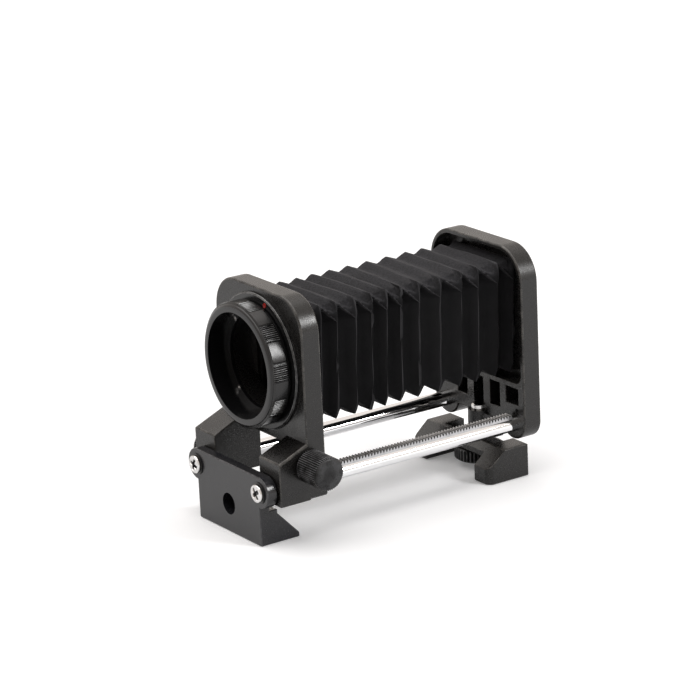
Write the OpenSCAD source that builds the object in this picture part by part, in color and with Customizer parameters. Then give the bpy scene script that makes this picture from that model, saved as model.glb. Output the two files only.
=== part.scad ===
// Macro bellows unit: a lens standard on two rods, a pleated bellows, and a fixed camera standard.
// X runs along the rods from the lens end to the camera end, Y points away from the focus
// knob, and Z points up. The origin is the middle of the front foot's face on the table.

/* [Rods] */
// Distance between the two rod axes
rod_gap = 48.5; // [44:0.5:54]
// Height of the rod axes above the table
rod_h = 24; // [22:0.5:28]
// Rod diameter
rod_d = 7; // [6:0.5:7.5]
// Free rod length between the front bracket and the rear standard
rod_span = 128.2; // [110:0.1:150]
// Depth of each rod's seat in the rear standard
rod_seat = 6; // [4:0.5:7]

/* [Front bracket] */
// Depth of the front foot along the rods
foot_depth = 19.2; // [16:0.2:24]
// Height of the lip at the back of the front foot
foot_lip = 1.9; // [1.2:0.1:3]
// Width of the bracket's lower body
bracket_w = 48.4; // [40:0.2:54]
// Thickness of the bracket's lower body
bracket_body_t = 8.7; // [7.5:0.1:10]
// Height of the bracket's thick lower body
bracket_body_h = 14.8; // [14:0.2:16]
// Diameter of the round ears that carry the rods
ear_d = 13.8; // [12.5:0.2:15]
// Thickness of the ears
ear_t = 4.8; // [4:0.2:6]
// Diameter of the threaded hole in the bracket's front
tripod_hole_d = 9.5; // [6.4:0.1:9.6]
// Height of the threaded hole's axis
tripod_hole_h = 12.6; // [11.5:0.1:13]

/* [Lens standard] */
// Width of the lens standard
plate_w = 65.8; // [64:0.2:72]
// Height of the lens standard's top
plate_top = 104.3; // [102:0.1:112]
// Thickness of the lens standard's plate
plate_t = 9.2; // [8:0.2:11]
// Radius of the two standards' top corners
corner_r = 15.3; // [10:0.1:20]
// Depth of the lens standard's two legs along the rods
leg_depth = 23.3; // [22:0.1:28]
// Height of the legs' underside
leg_bottom = 18.2; // [17.5:0.1:18.6]
// Height of the legs' front top edge
leg_front_h = 37.3; // [36:0.1:39]
// Height at which the legs' sloping tops meet the plate
leg_back_h = 43.2; // [42:0.1:46]
// Distance between the legs' inner faces
arch_w = 34.6; // [30:0.2:36]
// Height of the arch between the legs
arch_h = 40; // [36:0.2:42]
// Gap between the legs and the bracket at the front stop
stop_gap = 0.4; // [0.3:0.1:1]

/* [Lens mount] */
// Height of the lens axis
lens_h = 72; // [70:0.2:74]
// Width of the flange's border round the adapter ring
flange_border = 2.6; // [1.8:0.1:4]
// Thickness of the mount's outer flange
flange_t = 1.5; // [1.2:0.1:2.5]
// Wall of the knurled adapter ring
ring_wall = 4.2; // [3.6:0.1:5]
// Length of the knurled adapter ring
ring_l = 9.8; // [8:0.2:12]
// Inner diameter of the adapter ring, which takes the lens
ring_bore_d = 46; // [44:0.2:47]
// Width of the ledge behind the lens, round the throat
throat_ledge = 2.5; // [2.3:0.1:4]

/* [Focus drive] */
// Gear module of the rack and pinion
gear_m = 0.5; // [0.45:0.01:0.52]
// Number of pinion teeth
pinion_teeth = 22; // [20:1:23]
// Width of the rack
rack_w = 4.4; // [3.6:0.1:4.8]
// Height of the rack's tooth tips above the rod axis
rack_tip = 4.8; // [4.6:0.1:5]
// Diameter of the pinion shaft
shaft_d = 5; // [4:0.1:6]
// Distance of the pinion axis behind the legs' front
pinion_back = 14.8; // [13:0.1:15.5]
// Diameter of the focus knob and the lock knob
knob_d = 14.5; // [12:0.1:16]
// Length of the focus knob
knob_l = 15; // [10:0.5:20]
// Length of the lock knob
lock_knob_l = 10; // [8:0.5:14]

/* [Bellows] */
// Number of pleats
pleats = 12; // [10:1:14]
// Width over the pleats' ridges
bellows_w = 44; // [42:0.5:46]
// Height over the pleats' ridges
bellows_h = 52.6; // [50:0.2:54]
// Depth of the pleats
pleat_depth = 5; // [3:0.1:5.6]
// Thickness of the bellows cloth
cloth_t = 0.6; // [0.4:0.1:0.8]
// Thickness of the frames that clamp the bellows' ends
clamp_t = 1.4; // [1:0.1:2]

/* [Rear standard] */
// Width of the rear standard
rear_w = 66; // [64:0.2:72]
// Height of the rear standard's top
rear_top = 104; // [102:0.1:112]
// Thickness of the rear standard
rear_t = 9.2; // [8.6:0.1:11]
// Thickness of the rear standard's rim
rim_t = 2; // [1.6:0.1:2.6]
// Thickness of the rear standard's floor
floor_t = 2; // [1.6:0.1:2.2]
// Room under the bellows down to the pocket's lower edge
pocket_room = 2; // [1.4:0.1:3]
// Radius of the lobes round the rods
lobe_r = 8.8; // [8:0.1:9.5]
// Radius of the clamp post under the rear standard
post_r = 4.8; // [4.6:0.1:6]

/* [Camera mount] */
// Diameter of the camera mount's flange
cam_flange_d = 58; // [54:0.5:62]
// Thickness of the camera mount's flange
cam_flange_t = 3; // [2:0.1:4]
// Diameter of the bayonet barrel that enters the camera
cam_barrel_d = 43; // [42:0.5:46]
// Length of the bayonet barrel
cam_barrel_l = 5; // [4:0.2:6]
// Bore of the camera mount
cam_bore_d = 37; // [32:0.5:38]

/* [Rear foot] */
// Width of the rear foot
rear_foot_w = 57.4; // [54:0.2:62]
// Depth of the rear foot along the rods
rear_foot_depth = 22; // [20:0.2:26]
// Height of the rear foot's legs
rear_foot_h = 14.6; // [14:0.1:15]
// Height of the legs' upright front face
rear_foot_front_h = 7.2; // [5:0.1:9]
// Width of each leg
rear_leg_w = 10.8; // [9:0.1:12]
// Diameter of the clamp knob
clamp_knob_d = 23; // [20:0.5:26]
// Height of the clamp knob
clamp_knob_h = 6.2; // [5:0.1:6.4]
// Diameter of the clamp screw
clamp_screw_d = 6.35; // [5:0.05:6.5]

/* [Screws] */
// Diameter of the rod screws' heads
rod_screw_head_d = 8.4; // [7:0.1:9]
// Diameter of the rod screws' shanks
rod_screw_d = 4; // [3:0.1:4]
// Diameter of the small screws
small_screw_d = 1.8; // [1.6:0.1:2]

/* [Hidden] */
$fn = 96;

run_gap = 0.05;                       // radial clearance of a running or sliding fit
air_gap = 0.3;                        // clearance between pieces that pass each other
cut = 1;                              // how far a cutting solid runs past the face it opens

front_x = -foot_depth / 2;
ear_x = front_x + ear_t;              // rear face of the ears
leg_x = ear_x + stop_gap;             // front face of the legs
plate_back_x = leg_x + leg_depth;
plate_x = plate_back_x - plate_t;
rear_x = ear_x + rod_span;            // front face of the rear standard
rear_back_x = rear_x + rear_t;
floor_x = rear_back_x - floor_t;      // floor of the rear pocket
ring_d = ring_bore_d + 2 * ring_wall;
flange_d = ring_d + 2 * flange_border;
throat_d = ring_bore_d - 2 * throat_ledge;
flange_x = plate_x - flange_t;
ring_x = flange_x - ring_l;
rod_r = rod_d / 2;
rod_y = rod_gap / 2;
ear_r = ear_d / 2;
rod_length = rod_span + rod_seat;
screw_hole_r = rod_screw_d / 2 + 0.1;
screw_seat_l = 9;                     // length of the threaded hole in a rod's end

leg_in_y = arch_w / 2;
plate_y = plate_w / 2;
bush_r = rod_r + 1.5;
bush_l = 4.5;
bush_bore_r = rod_r + run_gap;

pitch = PI * gear_m;
tooth_slack = 0.06;                   // how much thinner each tooth is than half a pitch
pinion_r = gear_m * pinion_teeth / 2;
pinion_x = leg_x + pinion_back;
pinion_z = rod_h + rack_tip - gear_m + pinion_r;
pinion_w = rack_w - 0.4;
chamber_r = pinion_r + gear_m + 0.5;
shaft_r = shaft_d / 2;
pinion_bush_r = shaft_r + 1.5;
pinion_bush_l = 4;
shaft_in_y = -rod_y + pinion_w / 2 + 3;
knob_y = -plate_y - 0.4;              // inner face of the focus knob
rack_flat = sqrt(rod_r * rod_r - rack_w * rack_w / 4);
rack_start = pinion_x - 8 * pitch;   // a gap between two rack teeth lies under the pinion
rack_end_gap = 1.4;                   // from the rack's end to the rear standard
rack_count = floor((rear_x - rack_end_gap - rack_start) / pitch);

ridge_corner_y = 1.6;                 // how far a ridge's top corner is cut along Y
ridge_corner_z = 9;                   // how far a ridge's top corner is cut along Z
ridge_foot_y = 2.6;                   // the same at a ridge's bottom corner
ridge_foot_z = 5.3;
bellows_z = lens_h - 0.7;             // the cloth hangs a little below the lens axis
pocket_low = bellows_z - bellows_h / 2 - pocket_room;
bellows_x0 = plate_back_x + clamp_t;
bellows_x1 = floor_x - clamp_t;
pleat_len = (bellows_x1 - bellows_x0) / pleats;
frame_w = bellows_w - 2 * pleat_depth - 1.2;
frame_h = bellows_h - 2 * pleat_depth - 1.2;
frame_lip = 4.2;                      // width of a clamp frame's border
frame_hole_y = frame_w / 2 + 0.69 * frame_lip;
frame_hole_z = frame_h / 2 - frame_lip;
frame_head_r = 1.2;
frame_head_t = 0.6;

post_x = rear_x - 0.4;                // axis of the clamp screw
rear_edge_z = rod_h - 1;              // lower edge of the rear standard between its lobes
seat_z = rear_foot_h - 3.2;           // seat of the clamp post in the rear foot
post_top = rod_h + 1.2;
foot_setback = 4.4;                   // from the rear standard's back to the foot's
foot_front_x = rear_back_x - foot_setback - rear_foot_depth;
bridge_low = seat_z - 2.2;
clamp_knob_top = bridge_low - 0.6;
clamp_knob_low = clamp_knob_top - clamp_knob_h;
clamp_bore = 1.5;                     // floor left under the clamp screw in its knob
foot_slope = 38;                      // slope of the rear foot's front, in degrees
slope_l = (rear_foot_h - rear_foot_front_h) / tan(foot_slope);
lock_z = rod_h;
shoe_t = 1.1;
lock_x = leg_x + leg_depth / 2;
lock_y = plate_y + 0.4;
window_z1 = pocket_low - 2.4;
window_depth = rear_t - floor_t - 0.4;
windows = [                           // middle, half width and lower edge of each window
    [0, 3.6, 27.8], [11.9, 3.6, 29.5], [-11.9, 3.6, 29.5], [24.3, 4.5, 33.2], [-24.3, 4.5, 33.2]];
set_screw_y = rod_y + rod_r;
set_screw_z = rod_h + 1.9 * rod_r;
set_screw_r = 1.1;
set_screw_l = 1.9;
foot_corner_r = 3.5;
leg_gap = rear_foot_w - 2 * rear_leg_w;
bridge_back = 6;                      // how far the bridge's front stands back from the legs'
bridge_rim = 2.6;                     // height of the bridge's thin front edge's underside over the bridge's
washer_border = 3.4;
clamp_tip = 2;                        // how far the clamp screw stands out of its post
knob_wall = 3;                        // solid end of a knob past its bore
knob_chamfer = 0.8;
grub_r = 1;
grub_back = 3;                        // from the focus knob's inner face to its grub screw
grub_l = knob_d / 2 - shaft_r - 1;

washer_t = 0.5;
screw_head_t = 1.5;
small_r = small_screw_d / 2;
small_fit = 0.03;                     // how much thinner a small screw is than its hole
flange_screw_r = (throat_d + ring_bore_d) / 4 - 0.1;
lens_head_r = 1.1;
lens_head_t = 0.5;
lens_screw_l = flange_t + 3.4 * small_r;
cam_x = rear_back_x + cam_flange_t;
cam_screw_r = cam_flange_d / 2 - 3;
cam_head_r = 1.6;
cam_head_t = 0.6;
lug_h = 1.5;                          // how far the bayonet's lugs stand out of its barrel
lug_t = 1.4;
lug_w = 20;
latch_hole_r = 1.15;                  // hole that the camera's lock pin drops into
latch_hole_l = 2;
grip_groups = 6;
grips_in_group = 9;
grip_step = 3.2;                      // degrees from one grip rib to the next
grip_groove = 0.9;                    // side of the square that cuts a groove between ribs
grip_margin = 2;                      // plain band before the grooves

metal_dark = [0.17, 0.165, 0.165];
chrome = [0.86, 0.87, 0.88];

// ---- helpers ----

// A flat shape in Y and Z, drawn out along X from x0 to x1.
module along_x(x0, x1) {
    translate([x0, 0, 0]) rotate([90, 0, 90]) linear_extrude(x1 - x0) children();
}

// A flat shape in X and Z, drawn out along Y from y0 to y1.
module along_y(y0, y1) {
    translate([0, y1, 0]) rotate([90, 0, 0]) linear_extrude(y1 - y0) children();
}

// A round bar along X.
module bar_x(x0, x1, r) {
    translate([x0, 0, 0]) rotate([0, 90, 0]) cylinder(h = x1 - x0, r = r);
}

// A round bar along Y.
module bar_y(y0, y1, r) {
    translate([0, y0, 0]) rotate([-90, 0, 0]) cylinder(h = y1 - y0, r = r);
}

// A revolved body about X: points are [radius, x].
module turned_x(points) {
    rotate([0, 90, 0]) rotate_extrude() polygon(points);
}

// A rectangle between z0 and z1, w wide, with top corners rt and bottom corners rb.
module round_box(w, z0, z1, rt, rb) {
    translate([-w / 2 + rt, z1 - rt]) circle(rt);
    translate([w / 2 - rt, z1 - rt]) circle(rt);
    translate([-w / 2 + rb, z0 + rb]) circle(rb);
    translate([w / 2 - rb, z0 + rb]) circle(rb);
    translate([-w / 2 + rt, z0 + rb]) square([w - 2 * rt, z1 - z0 - rb]);
    translate([-w / 2 + rb, z0]) square([w - 2 * rb, z1 - z0 - rt]);
    translate([-w / 2, z0 + rb]) square([w, z1 - z0 - rt - rb]);
}

// Places its children at both rods.
module at_rods() {
    for (side = [-1, 1]) translate([0, side * rod_y, rod_h]) children();
}

// A fluted round outline: n grooves of the given depth round radius r.
function flutes(r, depth, n) = [for (i = [0 : 4 * n - 1])
    let (a = 90 * i / n, d = (i % 4 < 2) ? 0 : depth) [(r - d) * cos(a), (r - d) * sin(a)]];

// A cross recess for a screw's head, cut along -X from x = 0.
module cross_recess(size, depth) {
    for (a = [0, 90]) rotate([a + 45, 0, 0])
        translate([-cut, -size / 2, -size * 0.13]) cube([cut + depth, size, size * 0.26]);
}

// Places its children at the four screws of a clamp frame.
module at_frame_screws() {
    for (sy = [-1, 1]) for (sz = [-1, 1])
        translate([0, sy * frame_hole_y, bellows_z + sz * frame_hole_z]) children();
}

// Places its children four times round the lens axis, at radius r, above and below +Y and -Y.
module at_lens_circle(r, tilt) {
    translate([0, 0, lens_h]) for (a = [tilt, 180 - tilt, 180 + tilt, -tilt])
        rotate([a, 0, 0]) translate([0, r, 0]) children();
}

// ---- front end ----

module front_bracket() color(metal_dark) difference() {
    union() {
        along_x(front_x, ear_x) {
            for (side = [-1, 1]) translate([side * rod_y, rod_h]) circle(ear_r);
            translate([-rod_y, rod_h - ear_r]) square([rod_gap, ear_d]);
        }
        along_y(-bracket_w / 2, bracket_w / 2) polygon([
            [front_x, 0], [front_x + foot_depth, 0], [front_x + foot_depth, foot_lip],
            [front_x + bracket_body_t, bracket_body_h - 1.8], [front_x + bracket_body_t, bracket_body_h],
            [ear_x, bracket_body_h], [ear_x, rod_h], [front_x, rod_h]]);
    }
    at_rods() bar_x(front_x - cut, ear_x + cut, screw_hole_r);
    translate([0, 0, tripod_hole_h]) bar_x(front_x - cut, front_x + bracket_body_t - 1.2, tripod_hole_d / 2);
}

module rod_blank() difference() {
    bar_x(ear_x, ear_x + rod_length, rod_r);
    bar_x(ear_x - cut, ear_x + screw_seat_l, rod_screw_d / 2);
    bar_x(ear_x + rod_length - screw_seat_l, ear_x + rod_length + cut, rod_screw_d / 2);
}

module rod_near() color(chrome) translate([0, -rod_y, rod_h]) difference() {
    rod_blank();
    translate([rack_start, -rod_r, rack_flat]) cube([rack_count * pitch, rod_d, rod_r]);
}

module rod_far() color(chrome) translate([0, rod_y, rod_h]) rod_blank();

// One rack tooth, standing on the root line with its middle at x = 0.
function rack_tooth(x) = let (
    half = (pitch / 2 - tooth_slack) / 2, lean = tan(20), up = gear_m, down = gear_m * 1.25)
    [[x - half - down * lean, -down], [x - half + up * lean, up],
     [x + half - up * lean, up], [x + half + down * lean, -down]];

module focus_rack() color(chrome) {
    pitch_z = rod_h + rack_tip - gear_m;
    translate([rack_start, -rod_y, pitch_z]) along_y(-rack_w / 2, rack_w / 2) polygon(concat(
        [[0, rack_flat - rack_tip + gear_m], [0, -gear_m * 1.25]],
        [for (i = [0 : rack_count - 1]) each rack_tooth((i + 0.5) * pitch)],
        [[rack_count * pitch, -gear_m * 1.25], [rack_count * pitch, rack_flat - rack_tip + gear_m]]));
}

module rod_screw(head) difference() {
    union() {
        bar_x(0, head, rod_screw_head_d / 2);
        bar_x(head - 0.1, head + rod_screw_d * 2.5, rod_screw_d / 2 - 0.05);
    }
    cross_recess(rod_screw_head_d * 0.62, head * 0.6);
}

module front_rod_screws() color(chrome)
    at_rods() translate([front_x - washer_t - screw_head_t, 0, 0]) rod_screw(screw_head_t);

module front_rod_washers() color([0.1, 0.1, 0.1]) at_rods() difference() {
    bar_x(front_x - washer_t, front_x, rod_screw_head_d / 2 + 0.5);
    bar_x(front_x - washer_t - cut, front_x + cut, screw_hole_r);
}

module rear_rod_screws() color([0.12, 0.12, 0.12])
    at_rods() translate([rear_back_x + screw_head_t, 0, 0]) rotate([0, 180, 0]) rod_screw(screw_head_t);

// ---- lens standard ----

module lens_standard() color(metal_dark) difference() {
    union() {
        along_x(plate_x, plate_back_x) difference() {
            round_box(plate_w, leg_bottom, plate_top, corner_r, 2);
            translate([-leg_in_y, leg_bottom - cut]) square([arch_w, arch_h - leg_bottom + cut]);
        }
        for (side = [0, 1]) mirror([0, side, 0]) along_y(leg_in_y, plate_y) polygon([
            [leg_x, leg_bottom], [plate_x + cut, leg_bottom], [plate_x + cut, leg_back_h],
            [plate_x, leg_back_h], [leg_x, leg_front_h]]);
    }
    at_rods() bar_x(leg_x - cut, plate_back_x + cut, bush_r);
    translate([0, 0, lens_h]) bar_x(plate_x - cut, plate_back_x + cut, throat_d / 2);
    // chamber of the pinion, open to the rack below it
    translate([pinion_x, 0, pinion_z]) {
        bar_y(-rod_y - rack_w / 2 - 0.2, -rod_y + rack_w / 2 + 0.2, chamber_r);
        bar_y(-plate_y - cut, -rod_y, pinion_bush_r);
        bar_y(-rod_y, shaft_in_y + 0.5, shaft_r + run_gap);
    }
    translate([pinion_x - chamber_r, -rod_y - rack_w / 2 - 0.2, rod_h])
        cube([2 * chamber_r, rack_w + 0.4, pinion_z - rod_h]);
    // threaded hole of the lock screw
    translate([lock_x, 0, lock_z]) bar_y(rod_y, plate_y + cut, rod_screw_d / 2 + run_gap);
    // way of the rack through the leg
    translate([leg_x - cut, -rod_y - rack_w / 2 - 0.2, rod_h])
        cube([leg_depth + 2 * cut, rack_w + 0.4, rack_tip + air_gap]);
    translate([plate_x, 0, 0]) at_lens_circle(flange_screw_r, 45) bar_x(-cut, lens_screw_l, small_r);
    translate([plate_back_x, 0, 0]) at_frame_screws() bar_x(-3, cut, small_r);
}

module rod_bushes() color([0.72, 0.56, 0.3]) for (x = [leg_x, plate_back_x - bush_l]) {
    translate([0, rod_y, rod_h]) bush_ring(x);
    translate([0, -rod_y, rod_h]) difference() {
        bush_ring(x);
        translate([x - cut, -rack_w / 2 - 0.2, 0]) cube([bush_l + 2 * cut, rack_w + 0.4, bush_r + cut]);
    }
}

module bush_ring(x) difference() {
    bar_x(x, x + bush_l, bush_r);
    bar_x(x - cut, x + bush_l + cut, bush_bore_r);
}

// ---- lens mount ----

module lens_flange() color(metal_dark) difference() {
    translate([0, 0, lens_h]) turned_x([
        [throat_d / 2, flange_x], [flange_d / 2 - 0.5, flange_x], [flange_d / 2, flange_x + 0.5],
        [flange_d / 2, plate_x], [throat_d / 2, plate_x]]);
    at_lens_circle(flange_screw_r, 45) {
        bar_x(flange_x - cut, plate_x + cut, small_r + run_gap);
        bar_x(flange_x - cut, flange_x + lens_head_t + 0.1, lens_head_r + 0.1);
    }
}

module lens_flange_screws() color(chrome) translate([flange_x + 0.1, 0, 0])
    at_lens_circle(flange_screw_r, 45) difference() {
        union() {
            bar_x(0, lens_head_t, lens_head_r);
            bar_x(lens_head_t / 2, lens_screw_l, small_r - small_fit);
        }
        cross_recess(1.3, lens_head_t * 0.6);
    }

module adapter_ring() color([0.12, 0.12, 0.125]) translate([0, 0, lens_h]) difference() {
    turned_x([
        [ring_bore_d / 2, ring_x], [ring_d / 2 - 1.4, ring_x], [ring_d / 2 - 0.7, ring_x + 0.8],
        [ring_d / 2, ring_x + 1.4], [ring_d / 2, ring_x + ring_l - 2.4],
        [ring_d / 2 - 0.9, ring_x + ring_l - 1.8],
        [ring_d / 2 - 0.9, flange_x], [ring_bore_d / 2, flange_x]]);
    for (g = [0 : grip_groups - 1]) for (i = [0 : grips_in_group - 1])
        rotate([g * 360 / grip_groups + (i - (grips_in_group - 1) / 2) * grip_step, 0, 0])
            translate([ring_x + grip_margin, ring_d / 2, 0]) rotate([45, 0, 0])
                translate([0, -grip_groove / 2, -grip_groove / 2])
                    cube([ring_l - 2.3 * grip_margin, grip_groove, grip_groove]);
}

module alignment_dot() color([0.75, 0.08, 0.06]) translate([0, 0, lens_h]) rotate([18, 0, 0])
    translate([flange_x, 0, flange_d / 2 - 2.2]) bar_x(-0.25, 0, 1.1);

// ---- focus drive ----

// Half of a pinion tooth's flank: an involute of the base circle, from root to tip.
function inv(r, rb) = r <= rb ? 0 : let (t = sqrt(r * r / (rb * rb) - 1)) t * 180 / PI - atan(t);
function flank(rb, rp, half_angle, radii, sign) = [for (r = radii)
    let (a = sign * (half_angle + inv(rp, rb) - inv(r, rb))) [r * sin(a), -r * cos(a)]];
function turned(points, a) = [for (p = points)
    [p[0] * cos(a) - p[1] * sin(a), p[0] * sin(a) + p[1] * cos(a)]];

function pinion_points() = let (
    rb = pinion_r * cos(20), tip = pinion_r + gear_m, root = pinion_r - 1.25 * gear_m,
    half_angle = (pitch / 2 - tooth_slack) / 2 / pinion_r * 180 / PI,
    steps = 4, start = max(root, rb),
    radii = [for (i = [0 : steps]) start + (tip - start) * i / steps],
    tooth = concat(
        [turned([[0, -root]], -180 / pinion_teeth)[0]],
        flank(rb, pinion_r, half_angle, [root], -1),
        flank(rb, pinion_r, half_angle, radii, -1),
        [for (i = [steps : -1 : 0]) flank(rb, pinion_r, half_angle, radii, 1)[i]],
        flank(rb, pinion_r, half_angle, [root], 1)))
    [for (k = [0 : pinion_teeth - 1]) each turned(tooth, k * 360 / pinion_teeth)];

module pinion_shaft() color([0.6, 0.6, 0.62]) translate([pinion_x, 0, pinion_z]) {
    along_y(-rod_y - pinion_w / 2, -rod_y + pinion_w / 2) polygon(pinion_points());
    bar_y(knob_y - knob_l + knob_wall, shaft_in_y, shaft_r);
}

module pinion_bush() color([0.72, 0.56, 0.3]) translate([pinion_x, 0, pinion_z]) difference() {
    bar_y(-plate_y, -plate_y + pinion_bush_l, pinion_bush_r);
    bar_y(-plate_y - cut, -plate_y + pinion_bush_l + cut, shaft_r + run_gap);
}

// A fluted knob along -Y from its inner face at y = 0.
module side_knob(length, bore_r) difference() {
    union() {
        rotate([90, 0, 0]) translate([0, 0, knob_chamfer]) linear_extrude(length - 2 * knob_chamfer)
            polygon(flutes(knob_d / 2, 0.35, 60));
        bar_y(-length, 0, knob_d / 2 - 0.6);
    }
    bar_y(knob_wall - length, cut, bore_r);
}

module focus_knob() color(metal_dark) translate([pinion_x, knob_y, pinion_z]) difference() {
    side_knob(knob_l, shaft_r);
    translate([0, -grub_back, 0]) rotate([180, 0, 0]) cylinder(h = knob_d, r = grub_r);
}

module focus_knob_screw() color([0.1, 0.1, 0.1])
    translate([pinion_x, knob_y - grub_back, pinion_z - shaft_r]) rotate([180, 0, 0]) difference() {
        cylinder(h = grub_l, r = grub_r);
        translate([-grub_r, -0.15, grub_l - 0.5]) cube([2 * grub_r, 0.3, cut]);
    }

module lock_knob() color(metal_dark) translate([lock_x, lock_y, lock_z]) rotate([0, 0, 180])
    side_knob(lock_knob_l, rod_screw_d / 2);

module lock_screw() color(chrome) translate([lock_x, 0, lock_z])
    bar_y(rod_y + rod_r + shoe_t + 0.1, lock_y + lock_knob_l - knob_wall, rod_screw_d / 2);

module lock_shoe() color([0.72, 0.56, 0.3]) translate([lock_x, 0, lock_z])
    bar_y(rod_y + rod_r + 0.02, rod_y + rod_r + shoe_t, rod_screw_d / 2 - 0.1);

// ---- bellows ----

// An eight-sided ring of the bellows at x, as 3D points: half width, top, bottom and corner cuts.
function ring8(x, hw, z0, z1, ty, tz, by, bz) = [
    [x, hw - by, z0], [x, hw, z0 + bz], [x, hw, z1 - tz], [x, hw - ty, z1],
    [x, -hw + ty, z1], [x, -hw, z1 - tz], [x, -hw, z0 + bz], [x, -hw + by, z0]];

// The ring at half pleat i: even ones are valleys and odd ones are ridges. inset is the cloth.
function bellows_ring(i, inset) = let (
    x = bellows_x0 + i * pleat_len / 2,
    d = i % 2 == 0 ? pleat_depth : 0,
    k = i % 2 == 0 ? 0.12 : 1)
    ring8(x, bellows_w / 2 - d - inset, bellows_z - bellows_h / 2 + d + inset,
        bellows_z + bellows_h / 2 - d - inset, ridge_corner_y * k, ridge_corner_z * k,
        ridge_foot_y * k, ridge_foot_z * k);

module bellows() color([0.2, 0.2, 0.21]) {
    rings = 2 * pleats + 1;
    outer = [for (i = [0 : rings - 1]) each bellows_ring(i, 0)];
    inner = [for (i = [0 : rings - 1]) each bellows_ring(i, cloth_t)];
    n = len(outer);
    skin = [for (i = [0 : rings - 2]) for (j = [0 : 7]) let (a = 8 * i + j, b = 8 * i + (j + 1) % 8)
        each [[a, a + 8, b], [b, a + 8, b + 8]]];
    lining = [for (f = skin) [n + f[2], n + f[1], n + f[0]]];
    last = 8 * (rings - 1);
    front_end = [for (j = [0 : 7]) let (a = j, b = (j + 1) % 8) each [[a, b, n + a], [b, n + b, n + a]]];
    rear_end = [for (j = [0 : 7]) let (a = last + j, b = last + (j + 1) % 8)
        each [[b, a, n + a], [b, n + a, n + b]]];
    polyhedron(concat(outer, inner), concat(skin, lining, front_end, rear_end));
}

module clamp_frame(x) difference() {
    along_x(x, x + clamp_t) translate([0, bellows_z]) difference() {
        square([frame_w + 2 * frame_lip, frame_h + 2 * frame_lip], center = true);
        square([frame_w, frame_h], center = true);
    }
    translate([x, 0, 0]) at_frame_screws() bar_x(-cut, clamp_t + cut, small_r + run_gap);
}

module frame_screw() {
    bar_x(-frame_head_t, 0, frame_head_r);
    bar_x(-0.1, clamp_t + 1.5, small_r - small_fit);
}

module bellows_front_frame() color(metal_dark) clamp_frame(plate_back_x);

module bellows_rear_frame() color(metal_dark) clamp_frame(floor_x - clamp_t);

module front_frame_screws() color([0.1, 0.1, 0.1])
    translate([plate_back_x + clamp_t, 0, 0]) at_frame_screws() rotate([0, 180, 0]) frame_screw();

module rear_frame_screws() color([0.1, 0.1, 0.1])
    translate([floor_x - clamp_t, 0, 0]) at_frame_screws() frame_screw();

// ---- rear standard ----

module rear_standard() color(metal_dark) difference() {
    union() {
        along_x(rear_x, rear_back_x) {
            round_box(rear_w, rear_edge_z, rear_top, corner_r, 4);
            for (side = [-1, 1]) translate([side * (rear_w / 2 - lobe_r), rod_h + 1.8]) circle(lobe_r);
        }
        translate([post_x, 0, seat_z]) cylinder(h = post_top - seat_z, r = post_r);
        along_x(post_x, rear_back_x) translate([-post_r, seat_z]) square([2 * post_r, post_top - seat_z]);
    }
    along_x(rear_x - cut, floor_x)
        round_box(rear_w - 2 * rim_t, pocket_low, rear_top - rim_t, corner_r - rim_t, 4);
    for (w = windows) along_x(rear_x - cut, rear_x + window_depth)
        translate([w[0] - w[1], w[2]]) square([2 * w[1], window_z1 - w[2]]);
    at_rods() {
        bar_x(rear_x - cut, rear_x + rod_seat, rod_r + 0.02);
        bar_x(rear_x, rear_back_x + cut, screw_hole_r);
    }
    translate([0, 0, lens_h]) bar_x(floor_x - cut, rear_back_x + cut, cam_bore_d / 2);
    translate([post_x, 0, seat_z - cut])
        cylinder(h = windows[0][2] - seat_z + 2 * cut, r = clamp_screw_d / 2 + run_gap);
    for (side = [-1, 1]) translate([rear_x, side * set_screw_y, set_screw_z])
        bar_x(-cut, set_screw_l + 0.5, set_screw_r);
    translate([floor_x, 0, 0]) at_frame_screws() bar_x(-cut, floor_t - 0.4, small_r);
    translate([rear_back_x, 0, 0]) at_lens_circle(cam_screw_r, 60) bar_x(-1.5, cut, small_r);
}

module rod_set_screws() color([0.08, 0.08, 0.08])
    for (side = [-1, 1]) translate([rear_x + 0.5, side * set_screw_y, set_screw_z]) difference() {
        bar_x(0, set_screw_l, set_screw_r);
        rotate([0, 90, 0]) translate([0, 0, -cut])
            cylinder(h = cut + set_screw_l / 2, r = set_screw_r / 2, $fn = 6);
    }

// ---- camera mount ----

module camera_mount() color(chrome) difference() {
    translate([0, 0, lens_h]) {
        turned_x([[cam_bore_d / 2, rear_back_x], [cam_flange_d / 2, rear_back_x],
            [cam_flange_d / 2, cam_x - 0.4], [cam_flange_d / 2 - 0.4, cam_x], [cam_barrel_d / 2, cam_x],
            [cam_barrel_d / 2, cam_x + cam_barrel_l], [cam_bore_d / 2, cam_x + cam_barrel_l]]);
        for (a = [20, 140, 260]) rotate([a, 0, 0]) intersection() {
            bayonet_lugs();
            along_x(cam_x, cam_x + cam_barrel_l) translate([0, -lug_w / 2]) square([cam_barrel_d, lug_w]);
        }
    }
    at_lens_circle(cam_screw_r, 60) {
        bar_x(rear_back_x - cut, cam_x + cut, small_r + run_gap);
        bar_x(cam_x - cam_head_t - run_gap, cam_x + cut, cam_head_r + run_gap);
    }
    translate([0, cam_screw_r, lens_h]) bar_x(cam_x - latch_hole_l, cam_x + cut, latch_hole_r);
}

// The ring from which the three lugs of the camera mount are cut.
module bayonet_lugs() {
    lug_x = cam_x + cam_barrel_l - lug_t - 0.2;
    turned_x([[cam_barrel_d / 2 - 0.5, lug_x], [cam_barrel_d / 2 + lug_h, lug_x],
        [cam_barrel_d / 2 + lug_h, lug_x + lug_t], [cam_barrel_d / 2 - 0.5, lug_x + lug_t]]);
}

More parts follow.
